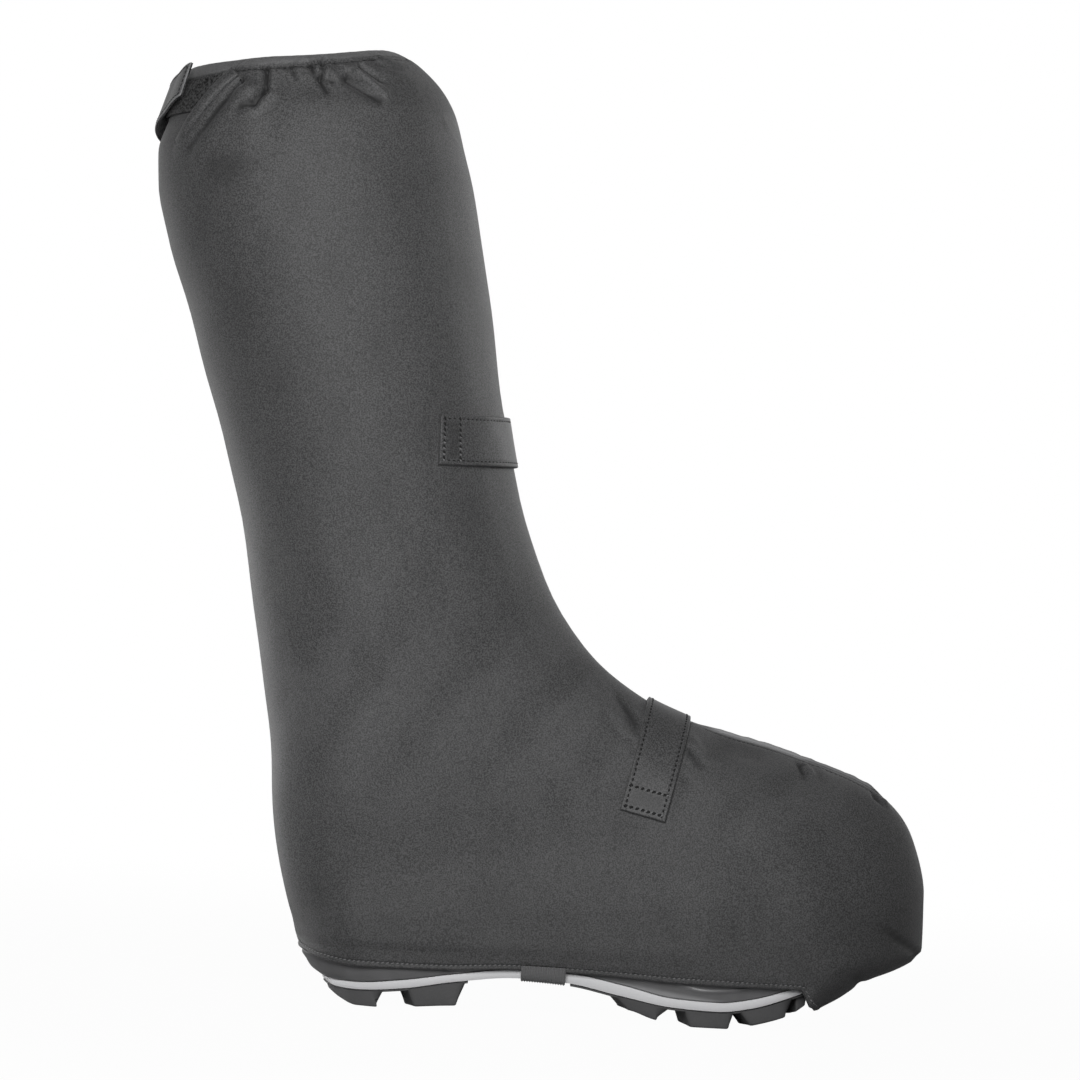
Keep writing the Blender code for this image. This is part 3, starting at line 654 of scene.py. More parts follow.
def crowded_ends(start, end, count):
    """Places from start to end that lie closer together at both ends."""
    turn = np.linspace(0, math.pi, count)
    return start + (end - start) * (1 - np.cos(turn)) / 2


def between(first, second, f):
    """Values a share of the way from first to second."""
    return first * (1 - f) + second * f


def way_to_front(shares):
    """0 at the back and 1 at the front, for shares of the way round the upper."""
    return 1 - np.abs(2 * (shares % 1.0) - 1)


def lengths_along(points, axis=0):
    """Distance gone along a line of points, or along each line of a grid."""
    steps = np.linalg.norm(np.diff(points, axis=axis), axis=-1)
    gone = np.cumsum(steps, axis=axis)
    first = np.zeros_like(np.take(gone, [0], axis=axis))
    return np.concatenate([first, gone], axis=axis)


def read_line(points, gone, at):
    """Points of a line, read at distances along it."""
    return np.column_stack([np.interp(at, gone, values) for values in points.T])


def unit(vectors):
    """Vectors of length 1."""
    return vectors / np.maximum(np.linalg.norm(vectors, axis=-1, keepdims=True), 1e-9)


def sole_half(x):
    """Half width of the sole with its round heel and toe."""
    ends = round_end(x, HEEL_ROUND) * round_end(SOLE_LENGTH - x, TOE_ROUND)
    return column(PLAN, "half", x) * ends


def section_at(step):
    """Section of the upper at any step between hem and collar."""
    steps = range(len(SECTIONS))
    return Section(*(curve(steps, values, step) for values in zip(*SECTIONS)))


def hem_height(step, row, x, from_front, ends):
    """Height of the cloth between its hem and the first section, with the dive under the toe."""
    first = SECTIONS[1]
    slope = (first.front_z - first.back_z) / (first.front_x - first.back_x)
    hem_z = column(HEM, "z", x)
    side_z = hem_z + step * (first.back_z + slope * (x - first.back_x) - hem_z)
    start = row.front_round + HEM_DIVE_LENGTH
    dive = smooth_step((start - from_front) / (start - HEM_DIVE_END))
    under_z = row.front_z + (1 - step) * HEM_CORNER_RISE * ends**HEM_CORNER_POWER
    return side_z + dive * (under_z - side_z)


def skin(step, shares):
    """Points on the upper's outer face at one step, at shares of the way round it.

    Share 0 is the back, 0.5 the front, and the outer side lies between them.
    """
    row = section_at(step)
    u = crowded_ends(0.0, 1.0, FINE_STEPS)
    x = row.back_x + u * (row.front_x - row.back_x)
    chord_z = row.back_z + u * (row.front_z - row.back_z)
    reach = math.hypot(row.front_x - row.back_x, row.front_z - row.back_z)
    ends = round_end(u * reach, row.back_round) * round_end((1 - u) * reach, row.front_round)
    foot = column(PLAN, "half", x) + row.spread
    half = ends * (row.half + row.foot_share * (foot - row.half))
    middle = row.foot_share * column(PLAN, "shift", x)
    z = chord_z
    if step < 1:
        z = hem_height(step, row, x, (1 - u) * reach, ends)
    if step > RIM_FROM:
        z = z + smooth_step((step - RIM_FROM) / (COLLAR_STEP - RIM_FROM)) * column(RIM_RISE, "z", x)
    shares = np.asarray(shares, float) % 1.0
    way = way_to_front(shares)
    points = np.empty((len(shares), 3))
    for side, chosen in ((-1, shares <= 0.5), (1, shares > 0.5)):
        path = np.column_stack([x, middle + side * half, z])
        gone = lengths_along(path)
        points[chosen] = read_line(path, gone / gone[-1], way[chosen])
    return points


def skin_normals(step, shares):
    """Outward directions of the upper's face."""
    shares = np.asarray(shares, float)
    above = min(step + NORMAL_STEP, COLLAR_STEP)
    below = max(step - NORMAL_STEP, 0)
    round_way = skin(step, shares + NORMAL_SHARE) - skin(step, shares - NORMAL_SHARE)
    return unit(np.cross(round_way, skin(above, shares) - skin(below, shares)))


def skin_grid(steps, shares):
    """Points on the upper's outer face, a row for each step."""
    return np.array([skin(step, shares) for step in steps])


def grid_normals(grid, closed=False):
    """Outward directions over a grid whose rows go up and whose columns go round."""
    if closed:
        round_way = np.roll(grid, -1, axis=1) - np.roll(grid, 1, axis=1)
    else:
        round_way = np.gradient(grid, axis=1)
    return unit(np.cross(round_way, np.gradient(grid, axis=0)))


def find_place(x, z):
    """Step and share of the outer side's point at x and z in the side view."""
    steps = np.arange(0.0, COLLAR_STEP, SEARCH_STEP)
    shares = np.arange(*SEARCH_SHARES, SEARCH_SHARE)
    grid = skin_grid(steps, shares)
    off = np.hypot(grid[..., 0] - x, grid[..., 2] - z)
    i, j = np.unravel_index(np.argmin(off), off.shape)
    place = np.array([steps[i], shares[j]])
    for _ in range(SEARCH_ROUNDS):
        step, share = place
        here = skin(step, [share, share + NORMAL_SHARE])
        above = skin(min(step + NORMAL_STEP, COLLAR_STEP), [share])[0]
        by_step = (above - here[0]) / NORMAL_STEP
        by_share = (here[1] - here[0]) / NORMAL_SHARE
        slope = np.array([[by_step[0], by_share[0]], [by_step[2], by_share[2]]])
        place = place + np.linalg.solve(slope, [x - here[0][0], z - here[0][2]])
    return place


Part = namedtuple("Part", "points faces")


def lean_back(points):
    """Points of the plain upright form, moved by the lean of the shaft."""
    x, y, z = np.asarray(points, float).T
    low, high = LEAN_HEIGHTS
    turn = LEAN * smooth_step((z - low) / (high - low))
    over_x = x - LEAN_X
    over_z = z - LEAN_Z
    lean_x = LEAN_X + over_x * np.cos(turn) - over_z * np.sin(turn)
    lean_z = LEAN_Z + over_x * np.sin(turn) + over_z * np.cos(turn)
    return np.column_stack([lean_x, y, lean_z])


def grid_faces(rows, columns, start=0, closed=False, flip=False):
    """Quads over a grid of points that are numbered row by row from start."""
    faces = []
    for i in range(rows - 1):
        for j in range(columns if closed else columns - 1):
            a = start + i * columns + j
            b = start + i * columns + (j + 1) % columns
            quad = (a, b, b + columns, a + columns)
            faces.append(quad[::-1] if flip else quad)
    return faces


def band_part(base, normals, top, bottom=None):
    """Closed band over a grid of points, between two heights along the normals."""
    if bottom is None:
        bottom = np.zeros_like(top)
    rows, columns = base.shape[:2]
    count = rows * columns
    over = base + top[..., None] * normals
    under = base + bottom[..., None] * normals
    numbers = np.arange(count).reshape(rows, columns)
    rim = [*numbers[0], *numbers[1:, -1], *numbers[-1, -2::-1], *numbers[-2:0:-1, 0]]
    faces = grid_faces(rows, columns) + grid_faces(rows, columns, count, flip=True)
    for a, b in zip(rim, rim[1:] + rim[:1]):
        faces.append((int(b), int(a), int(a) + count, int(b) + count))
    return Part(np.concatenate([over.reshape(-1, 3), under.reshape(-1, 3)]), faces)


def loft_part(rings):
    """Closed solid through rings of points, with its two ends filled."""
    rings = np.asarray(rings)
    rows, columns = rings.shape[:2]
    faces = grid_faces(rows, columns, closed=True)
    faces.append(tuple(range(columns))[::-1])
    faces.append(tuple(range((rows - 1) * columns, rows * columns)))
    return Part(rings.reshape(-1, 3), faces)


def make_piece(name, parts, materials):
    """New object from parts in the tables' millimetres, one material to a part."""
    points = []
    faces = []
    chosen = []
    for index, part in enumerate(parts):
        start = len(points)
        points.extend((lean_back(part.points) * MM + SHIFT).tolist())
        faces.extend(tuple(start + k for k in face) for face in part.faces)
        chosen.extend([min(index, len(materials) - 1)] * len(part.faces))
    data = bpy.data.meshes.new(name)
    data.from_pydata(points, [], faces)
    for material in materials:
        data.materials.append(material)
    data.polygons.foreach_set("material_index", chosen)
    data.shade_smooth()
    made = bpy.data.objects.new(name, data)
    bpy.context.scene.collection.objects.link(made)
    return made


def face_outwards(made):
    """Turns the faces of closed shapes outwards."""
    mesh = bmesh.new()
    mesh.from_mesh(made.data)
    bmesh.ops.recalc_face_normals(mesh, faces=mesh.faces)
    mesh.to_mesh(made.data)
    mesh.free()


def apply_modifiers(made):
    """Keeps what an object's modifiers make as its plain mesh."""
    graph = bpy.context.evaluated_depsgraph_get()
    mesh = bpy.data.meshes.new_from_object(made.evaluated_get(graph), depsgraph=graph)
    made.modifiers.clear()
    old = made.data
    made.data = mesh
    bpy.data.meshes.remove(old)


def hand_over(made, slot, *nodes):
    """The piece rides on the shoe and stands for its solids, which are hidden; the slot is not used."""
    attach(made, BODY)
    if nodes:
        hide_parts(*nodes)


class Value:
    """Output of a node that can stand in a sum or a product, which adds the Math node for it."""

    def __init__(self, nodes, socket):
        self.nodes = nodes
        self.socket = socket

    def math(self, operation, *terms):
        return self.nodes.add("ShaderNodeMath", {"operation": operation}, dict(enumerate(terms)))

    def __add__(self, other):
        return self.math("ADD", self, other)

    def __sub__(self, other):
        return self.math("SUBTRACT", self, other)

    def __rsub__(self, other):
        return self.math("SUBTRACT", other, self)

    def __mul__(self, other):
        return self.math("MULTIPLY", self, other)

    def sine(self):
        return self.math("SINE", self)

    def rise(self, low, high):
        """0 up to low and 1 from high on, with a smooth way between."""
        sockets = {"Value": self, "From Min": low, "From Max": high}
        return self.nodes.add("ShaderNodeMapRange", {"interpolation_type": "SMOOTHSTEP"}, sockets)


class Nodes:
    """Node tree that is built one call at a time."""

    def __init__(self, tree):
        self.tree = tree

    def add(self, kind, settings=None, sockets=None, output=0):
        node = self.tree.nodes.new(kind)
        for name, value in (settings or {}).items():
            setattr(node, name, value)
        for name, value in (sockets or {}).items():
            self.feed(node.inputs[name], value)
        return Value(self, node.outputs[output])

    def feed(self, socket, value):
        if isinstance(value, Value):
            self.tree.links.new(value.socket, socket)
        else:
            socket.default_value = value


class Finish(Nodes):
    """Material with one shader, whose varying sockets are fed by expressions."""

    def __init__(self, name, **constants):
        self.material = bpy.data.materials.new(name)
        self.material.use_nodes = True
        super().__init__(self.material.node_tree)
        self.shader = self.tree.nodes["Principled BSDF"]
        for socket, value in constants.items():
            self.shader.inputs[socket.replace("_", " ")].default_value = value

    def set(self, socket, value):
        self.feed(self.shader.inputs[socket], value)

    def place(self):
        """Place on the piece, in metres."""
        return self.add("ShaderNodeTexCoord", output="Object")

    def sheet_place(self):
        """Place on the piece's own sheet, in metres along it and up it."""
        return self.add("ShaderNodeTexCoord", output="UV")

    def axis(self, place, name):
        return self.add("ShaderNodeSeparateXYZ", None, {"Vector": place}, name)

    def noise(self, place, scale, detail=2.0):
        return self.add("ShaderNodeTexNoise", None, {"Vector": place, "Scale": scale, "Detail": detail})

    def mix(self, share, first, second):
        """Colour between two colours."""
        return self.add("ShaderNodeMix", {"data_type": "RGBA"}, {0: share, 6: first, 7: second}, 2)

    def bump(self, height, distance, strength=1.0):
        sockets = {"Height": height, "Distance": distance * MM, "Strength": strength}
        self.set("Normal", self.add("ShaderNodeBump", None, sockets))


def shade(tone, factor):
    """Colour made lighter or darker by a factor, with its alpha."""
    return (*(min(1.0, part * factor) for part in tone), 1.0)


def woven_finish(name, tone, weave, speckle=0.5, roughness=0.55, sheen=0.12):
    """Coated cloth: fine weave, speckled threads and a soft sheen, with painted shade and painted light
    laid on from the tone attribute.
    """
    made = Finish(name, Sheen_Weight=sheen, Sheen_Roughness=0.4, Specular_IOR_Level=0.4)
    place = made.place()
    sheet = made.sheet_place()
    turn = 2 * math.pi / weave
    warp = (made.axis(sheet, "X") * turn).sine()
    weft = (made.axis(sheet, "Y") * turn).sine()
    threads = warp * weft * 0.5 + 0.5
    grain = made.noise(place, 1500.0, 3.0)
    patches = made.noise(place, 28.0, 3.0)
    share = (grain - 0.5) * 4.0 + (patches - 0.5) * 0.2 + (threads - 0.5) * 0.2 + 0.5
    plain = made.mix(share, shade(tone, 1 - speckle), shade(tone, 1 + speckle))
    # Painted shade and painted light from the tone attribute, mixed into the base colour
    shift = made.add("ShaderNodeAttribute", {"attribute_name": LIGHT_AND_SHADE_TONE}, None, "Fac")
    darker = made.mix(shift.rise(0.0, -1.0), plain, shade(tone, PAINTED_SHADE_FACTOR))
    made.set("Base Color", made.mix(shift.rise(0.0, 1.0), darker, shade(tone, PAINTED_LIGHT_FACTOR)))
    made.set("Roughness", grain * 0.2 + (roughness - 0.1))
    made.bump(threads * 0.6 + grain * 0.8, 0.15, 0.6)
    return made.material


def elastic_finish(name, tone):
    """Knitted elastic: fine cross threads over the ribs."""
    made = Finish(name, Sheen_Weight=0.3, Sheen_Roughness=0.5, Specular_IOR_Level=0.3)
    place = made.place()
    rungs = (made.axis(place, "Z") * (2 * math.pi / (0.7 * MM))).sine() * 0.5 + 0.5
    grain = made.noise(place, 1400.0)
    made.set("Base Color", made.mix(rungs * 0.5 + grain * 0.5, shade(tone, 0.8), shade(tone, 1.2)))
    made.set("Roughness", grain * 0.2 + 0.75)
    made.bump(rungs, 0.15, 0.5)
    return made.material


def pile_finish(name, tone):
    """Dark loop pile."""
    made = Finish(name, Sheen_Weight=0.1, Sheen_Roughness=0.6, Specular_IOR_Level=0.1)
    place = made.place()
    loops = made.noise(place, 800.0, 3.0)
    tufts = made.noise(place, 420.0, 2.0)
    made.set("Base Color", made.mix((loops - 0.5) * 5.0 + tufts, shade(tone, 0.2), shade(tone, 3.2)))
    made.set("Roughness", loops * 0.15 + 0.85)
    made.bump(loops, 0.5)
    return made.material


def speckled_finish(name, tone, look):
    """Surface with a fine and a broad speckle, such as thread, foam, rubber or knit."""
    made = Finish(name, Sheen_Weight=look.sheen, Specular_IOR_Level=look.specular)
    place = made.place()
    fine = made.noise(place, *look.fine)
    broad = made.noise(place, *look.broad)
    share = fine * look.share + broad * (1 - look.share)
    made.set("Base Color", made.mix(share, shade(tone, look.dark), shade(tone, look.light)))
    worn = fine if look.follows == "fine" else broad
    made.set("Roughness", worn * look.swing + look.rough)
    made.bump(fine, look.bump, look.strength)
    return made.material


def line_side(made, place, line):
    """Distance in metres past a line in the side view, towards the toe."""
    first, second = line
    run = math.hypot(second.x - first.x, second.z - first.z)
    across_x = (second.z - first.z) / -run
    across_z = (second.x - first.x) / run
    along_x = made.axis(place, "X") - (first.x * MM + SHIFT[0])
    return along_x * across_x + (made.axis(place, "Z") - first.z * MM) * across_z


def rand_finish(name, tone, arch):
    """Smooth rand: glossy dark at heel and forefoot, and grey at the arch."""
    made = Finish(name, Specular_IOR_Level=0.5, Coat_Roughness=0.18)
    place = made.place()
    past_heel = line_side(made, place, RAND_HEEL_END).rise(*RAND_HEEL_BLUR)
    past_arch = line_side(made, place, RAND_ARCH_END).rise(*RAND_ARCH_BLUR)
    scuffs = made.noise(place, 120.0, 3.0)
    dark = made.mix(scuffs, shade(tone, 0.8), shade(tone, 1.25))
    grey = made.mix(scuffs, shade(arch, 0.9), shade(arch, 1.1))
    at_arch = past_heel * (1 - past_arch)
    made.set("Base Color", made.mix(at_arch, dark, grey))
    made.set("Roughness", scuffs * 0.15 + 0.25 + at_arch * 0.2)
    made.set("Coat Weight", past_arch * 0.5)
    made.bump(made.noise(place, 700.0), 0.03, 0.4)
    return made.material


def floor_finish(name, tone, glow):
    """Plain pale floor that fades to white away from the shoe."""
    made = Finish(name, Specular_IOR_Level=0.1)
    place = made.place()
    mottle = made.noise(place, 3.0, 2.0)
    made.set("Base Color", made.mix(mottle, shade(tone, 0.995), shade(tone, 1.005)))
    made.set("Roughness", mottle * 0.1 + 0.85)
    away = made.add("ShaderNodeVectorMath", {"operation": "LENGTH"}, {0: place}, "Value")
    far = away.rise(*FLOOR_FADE)
    seen = made.add("ShaderNodeLightPath", output="Is Camera Ray")
    white = made.add("ShaderNodeEmission", None, {"Color": (1.0, 1.0, 1.0, 1.0), "Strength": 1.0})
    share = seen * (far * (1 - glow) + glow)
    plain = Value(made, made.shader.outputs[0])
    whole = made.add("ShaderNodeMixShader", None, {0: share, 1: plain, 2: white})
    made.feed(made.tree.nodes["Material Output"].inputs["Surface"], whole)
    return made.material


Cloth = namedtuple("Cloth", "points normals up beside way start_up")


def cuff_step(shares):
    """Step at which the collar's cuff starts."""
    return CUFF_BACK_STEP + way_to_front(shares) * (CUFF_FRONT_STEP - CUFF_BACK_STEP)


def cloth_frame(steps, shares):
    """Plain skin of the upper with the lengths that folds and seams are placed by.

    up is the way up from the hem and beside the way from the front line, both along the cloth;
    start_up is where the collar's cuff starts.
    """
    points = skin_grid(steps, shares)
    front = int(np.argmin(np.abs(shares - 0.5)))
    up = lengths_along(points, axis=0)
    beside = lengths_along(points, axis=1)
    beside = beside - beside[:, front : front + 1]
    way = way_to_front(shares)
    start_up = np.array([np.interp(step, steps, up[:, j]) for j, step in enumerate(cuff_step(shares))])
    return Cloth(points, grid_normals(points, closed=True), up, beside, way, start_up)


def fold_relief(folds, swells, x, z):
    """Height of troughs, ridges and swells in the side view."""
    height = np.zeros_like(x)
    for fold in folds:
        run_x = fold.x2 - fold.x1
        run_z = fold.z2 - fold.z1
        along = ((x - fold.x1) * run_x + (z - fold.z1) * run_z) / (run_x**2 + run_z**2)
        along = np.clip(along, 0, 1)
        off_x = x - fold.x1 - along * run_x
        off_z = z - fold.z1 - along * run_z
        shape = bell(np.hypot(off_x, off_z), fold.width)
        if fold.width < FOLD_SOFT_WIDTH:
            move = FOLD_LIP_PLACE * fold.width / math.hypot(run_x, run_z)
            beside = np.hypot(off_x + run_z * move, off_z - run_x * move)
            shape = shape - FOLD_LIP * bell(beside, FOLD_LIP_WIDTH * fold.width)
        else:
            shape = shape * smooth_step(np.minimum(along, 1 - along) / FOLD_SOFT_END)
        height += fold.height * (1 - FOLD_FADE * along) * shape
    for swell in swells:
        height += swell.height * bell(x - swell.x, swell.reach_x) * bell(z - swell.z, swell.reach_z)
    return height


def past_turned_edge(x, z):
    """0 to the left of the turned edge in the side view, and 1 to its right."""
    edge = TURNED_EDGE
    run_x = edge.x2 - edge.x1
    run_z = edge.z2 - edge.z1
    beside = ((z - edge.z1) * run_x - (x - edge.x1) * run_z) / math.hypot(run_x, run_z)
    return smooth_step(beside / TURNED_EDGE_BLUR + 0.5)


def closure_lift(x, z, over, below):
    """Cloth that lies over the end of the loop patch, fading into the cuff, its edge and the shaft."""
    reach = past_turned_edge(x, z) * smooth_step((CLOSURE_END - x) / CLOSURE_FADE)
    low = smooth_step((z - CLOSURE_LOW) / CLOSURE_RISE)
    under_cuff = smooth_step(-over / CLOSURE_CUFF_FADE)
    cuff = CLOSURE_CUFF_SHARE + (1 - CLOSURE_CUFF_SHARE) * under_cuff
    return CLOSURE_LIFT * reach * low * cuff * smooth_step(below / CUFF_EASE)


def strap_cover(strap, points):
    """1 where a strap presses the cloth flat, fading out beside it."""
    level = points @ np.array(strap.across)
    place = points @ np.array(strap.along)
    cover = smooth_step((level - strap.low) / STRAP_MARGIN + 1)
    cover = cover * smooth_step((strap.high - level) / STRAP_MARGIN + 1)
    return cover * smooth_step((place - strap.end) / STRAP_MARGIN + 1)


def seam_along(steps):
    """1 along the vamp seam, fading at its two ends, as a column."""
    from_start = smooth_step((steps - SEAM_FROM) / SEAM_FADE)
    return (from_start * smooth_step((SEAM_TO - steps) / SEAM_FADE))[:, None]


def seam_relief(cloth, steps, height):
    """Puckered seam along the vamp with a groove on each side."""
    off = np.abs(cloth.beside)
    waves = np.sin(2 * math.pi * cloth.up / SEAM_PUCKER) * np.sin(cloth.up / SEAM_PUCKER)
    pucker = 1 + SEAM_PUCKER_DEPTH * waves
    ridge = height * pucker * np.sqrt(np.clip(1 - (off / SEAM_HALF) ** 2, 0, 1))
    groove = SEAM_GROOVE_DEPTH * bell(off - SEAM_SEWING, SEAM_GROOVE_WIDTH)
    return seam_along(steps) * (ridge - groove)


def seam_painted_light(cloth, steps):
    """Painted light as a band along the vamp seam, weaker past its pucker."""
    band = SEAM_PAINTED_LIGHT * smooth_step((SEAM_LIT_BAND - np.abs(cloth.beside)) / SEAM_LIT_BAND_FADE)
    past = smooth_step((cloth.points[..., 0] - SEAM_PUCKER_X) / SEAM_PUCKER)
    return seam_along(steps) * band * (1 - SEAM_LIGHT_DROP * past)


def cuff_tone(cloth):
    """Lighter cuff of the collar."""
    over = cloth.up - cloth.start_up
    return CUFF_LIGHT * smooth_step((over - CUFF_LIGHT_START) / CUFF_LIGHT_FADE)


def painted_height_light(cloth):
    """Painted shade at the hem and toe and painted light at the ankle, changing softly with height."""
    x = cloth.points[..., 0]
    z = cloth.points[..., 2]
    low, high = TOE_PAINTED_SHADE_X
    return column(HEIGHT_PAINTED_LIGHT, "tone", z) + TOE_PAINTED_SHADE * smooth_step((x - low) / (high - low))


def cuff_relief(cloth, bulge):
    """Rolled cuff of the collar over its sewing line, with small gathers under it."""
    over = cloth.up - cloth.start_up
    full = cloth.up[-1] - cloth.start_up
    share = np.clip(over / full, 0, 1)
    first, second = PLEAT_LENGTHS
    gathers = np.sin(2 * math.pi * cloth.beside / first) * np.sin(2 * math.pi * cloth.beside / second)
    roll = CUFF_FOOT + bulge * np.sqrt(np.clip(1 - (2 * share - 1) ** 2, 0, 1)) + CUFF_GATHER * gathers
    front = smooth_step((1 - cloth.way) / CUFF_FRONT_FADE)
    cuff = roll * smooth_step(over / CUFF_EDGE) * front
    seam = CUFF_SEAM_DEPTH * bell(over, CUFF_SEAM_WIDTH) * front
    under = PLEAT_DEPTH * gathers * np.exp(np.minimum(over, 0) / PLEAT_REACH) * (over < 0)
    return cuff - seam + under


def toe_relief(cloth, steps):
    """Thick uneven hem under the toe, with small gathers at its edge."""
    front = smooth_step((cloth.way - TOE_HEM_WAY) / TOE_HEM_FADE)
    height = np.zeros_like(cloth.up)
    for bump in TOE_HEM:
        height += bump.height * bell(cloth.up - bump.up, bump.reach)
    gathers = np.sin(2 * math.pi * cloth.beside / TOE_GATHER) * np.exp(-cloth.up / TOE_GATHER_REACH)
    low = smooth_step((TOE_HEM_TOP - steps) / TOE_HEM_TOP_FADE)
    return (height + TOE_GATHER_DEPTH * gathers) * front * low[:, None]


def edge_round(distance):
    """Drop of a rounded edge."""
    return -EDGE_ROUND * (1 - round_end(distance, EDGE_ROUND))


def hem_relief(cloth):
    """Sewn hem: a lip under a shallow groove."""
    over = cloth.up - column(HEM_SEWING, "z", cloth.points[0, :, 0])
    lip = HEM_LIP * smooth_step(-over / HEM_LIP_FADE)
    return lip - HEM_GROOVE_DEPTH * bell(over, HEM_GROOVE_WIDTH)


def cloth_relief(cloth, steps, settings):
    """Height of the cloth over its plain skin."""
    x, y, z = (cloth.points[..., axis] for axis in range(3))
    height = np.zeros_like(x)
    for wave in WAVES:
        turn = x / wave.length_x + y / wave.length_y + z / wave.length_z
        height += settings.slack * wave.height * np.sin(2 * math.pi * turn + wave.turn)
    low, high = SIDE_FACING
    for side, folds, swells in ((-1, OUTER_FOLDS, OUTER_SWELLS), (1, INNER_FOLDS, INNER_SWELLS)):
        facing = smooth_step((side * cloth.normals[..., 1] - low) / (high - low))
        height += settings.folds * facing * fold_relief(folds, swells, x, z)
        if side < 0:
            height += facing * closure_lift(x, z, cloth.up - cloth.start_up, cloth.up[-1] - cloth.up)
    for strap in (SHIN_STRAP, INSTEP_STRAP):
        height *= 1 - STRAP_COVER * strap_cover(strap, cloth.points)
    height += seam_relief(cloth, steps, settings.seam / MM)
    height += cuff_relief(cloth, settings.cuff / MM)
    height += hem_relief(cloth)
    height += toe_relief(cloth, steps)
    return height + edge_round(cloth.up[-1] - cloth.up) + edge_round(cloth.up)


def rows_further(heights, count):
    """Heights some rows further up, with the first or the last row repeated past the edge."""
    last = len(heights) - 1
    return heights[np.clip(np.arange(last + 1) + count, 0, last)]


def crease_painted_shade(heights):
    """Painted shade: -1 where the cloth lies deep between its neighbours, and 0 where it doesn't."""
    rows = range(-CREASE_SHADE_ROWS, CREASE_SHADE_ROWS + 1)
    columns = range(-CREASE_SHADE_COLUMNS, CREASE_SHADE_COLUMNS + 1)
    mean = np.mean([rows_further(heights, i) for i in rows], axis=0)
    mean = np.mean([np.roll(mean, j, axis=1) for j in columns], axis=0)
    return np.clip((heights - mean) / CREASE_SHADE_DEPTH, -1, 0)


def lowest_near(heights, rows, columns):
    """Lowest height within some rows and columns of each place."""
    lowest = heights.copy()
    for i in range(-rows, rows + 1):
        moved = rows_further(heights, i)
        for j in range(-columns, columns + 1):
            lowest = np.minimum(lowest, np.roll(moved, j, axis=1))
    return lowest


def cloth_part(outer, inner):
    """Closed wall between the outer face and a coarser inner face."""
    rows, columns = outer.shape[:2]
    inner_rows, inner_columns = inner.shape[:2]
    start = rows * columns
    faces = grid_faces(rows, columns, closed=True)
    faces += grid_faces(inner_rows, inner_columns, start, closed=True, flip=True)
    top = (rows - 1) * columns
    inner_top = start + (inner_rows - 1) * inner_columns
    for k in range(inner_columns):
        after = (k + 1) % inner_columns
        edge = [(INNER_COLUMN_STRIDE * k + n) % columns for n in range(INNER_COLUMN_STRIDE + 1)]
        faces.append((*(top + j for j in edge), inner_top + after, inner_top + k))
        faces.append((*edge[::-1], start + k, start + after))
    return Part(np.concatenate([outer.reshape(-1, 3), inner.reshape(-1, 3)]), faces)


def lay_sheet(made, across, up, girth):
    """UV map in metres from each point's way across and up, unbroken over the back."""
    layer = made.data.uv_layers.new(name="sheet")
    places = np.empty((len(made.data.loops), 2))
    for face in made.data.polygons:
        loops = list(face.loop_indices)
        numbers = list(face.vertices)
        u = across[numbers]
        if u.max() - u.min() > girth / 2:
            u = np.where(u < 0, u + girth, u)
        places[loops, 0] = u * MM
        places[loops, 1] = up[numbers] * MM
    layer.data.foreach_set("uv", places.ravel())


def lay_light_and_shade(made, values):
    """Painted light and shade on the first points of a piece: how far the cloth is darker, below 0, or
    lighter.
    """
    kept = made.data.attributes.new(LIGHT_AND_SHADE_TONE, "FLOAT", "POINT")
    tones = np.zeros(len(made.data.vertices))
    tones[: values.size] = np.clip(values, -1, 1).ravel()
    kept.data.foreach_set("value", tones)


Line = namedtuple("Line", "points ups")


def line_at_height(cloth, surface, normals, height):
    """Line round the cloth at a way up for each column, closed at its end."""
    line = []
    for j, up in enumerate(height):
        i = np.interp(up, cloth.up[:, j], np.arange(len(cloth.up)))
        low = min(int(i), len(cloth.up) - 2)
        point = between(surface[low, j], surface[low + 1, j], i - low)
        line.append((point, normals[low, j]))
    line.append(line[0])
    points, ups = zip(*line)
    return Line(np.array(points), np.array(ups))


def line_beside(cloth, surface, normals, rows, off):
    """Line up the cloth at a distance beside the front line."""
    points = []
    ups = []
    for i in rows:
        j = np.interp(off, cloth.beside[i], np.arange(cloth.beside.shape[1]))
        left = int(j)
        points.append(between(surface[i, left], surface[i, left + 1], j - left))
        ups.append(normals[i, left])
    return Line(np.array(points), np.array(ups))


def polyline_object(name, lines):
    """Edges along lines, with the outward direction kept at each point."""
    points = []
    edges = []
    ups = []
    for line in lines:
        start = len(points)
        points.extend((lean_back(line.points) * MM + SHIFT).tolist())
        ups.extend(line.ups.tolist())
        edges.extend((start + k, start + k + 1) for k in range(len(line.points) - 1))
    data = bpy.data.meshes.new(name)
    data.from_pydata(points, edges, [])
    kept = data.attributes.new("up", "FLOAT_VECTOR", "POINT")
    kept.data.foreach_set("vector", np.array(ups, float).ravel())
    made = bpy.data.objects.new(name, data)
    bpy.context.scene.collection.objects.link(made)
    return made


def geometry_tree(name, numbers):
    """Geometry node tree with named numbers and a material as inputs, and the values they give."""
    tree = bpy.data.node_groups.new(name, "GeometryNodeTree")
    tree.interface.new_socket("Geometry", in_out="INPUT", socket_type="NodeSocketGeometry")
    for label in numbers:
        tree.interface.new_socket(label, in_out="INPUT", socket_type="NodeSocketFloat")
    tree.interface.new_socket("Material", in_out="INPUT", socket_type="NodeSocketMaterial")
    tree.interface.new_socket("Geometry", in_out="OUTPUT", socket_type="NodeSocketGeometry")
    nodes = Nodes(tree)
    entry = tree.nodes.new("NodeGroupInput")
    given = {socket.name: Value(nodes, socket) for socket in entry.outputs if socket.name}
    return nodes, given


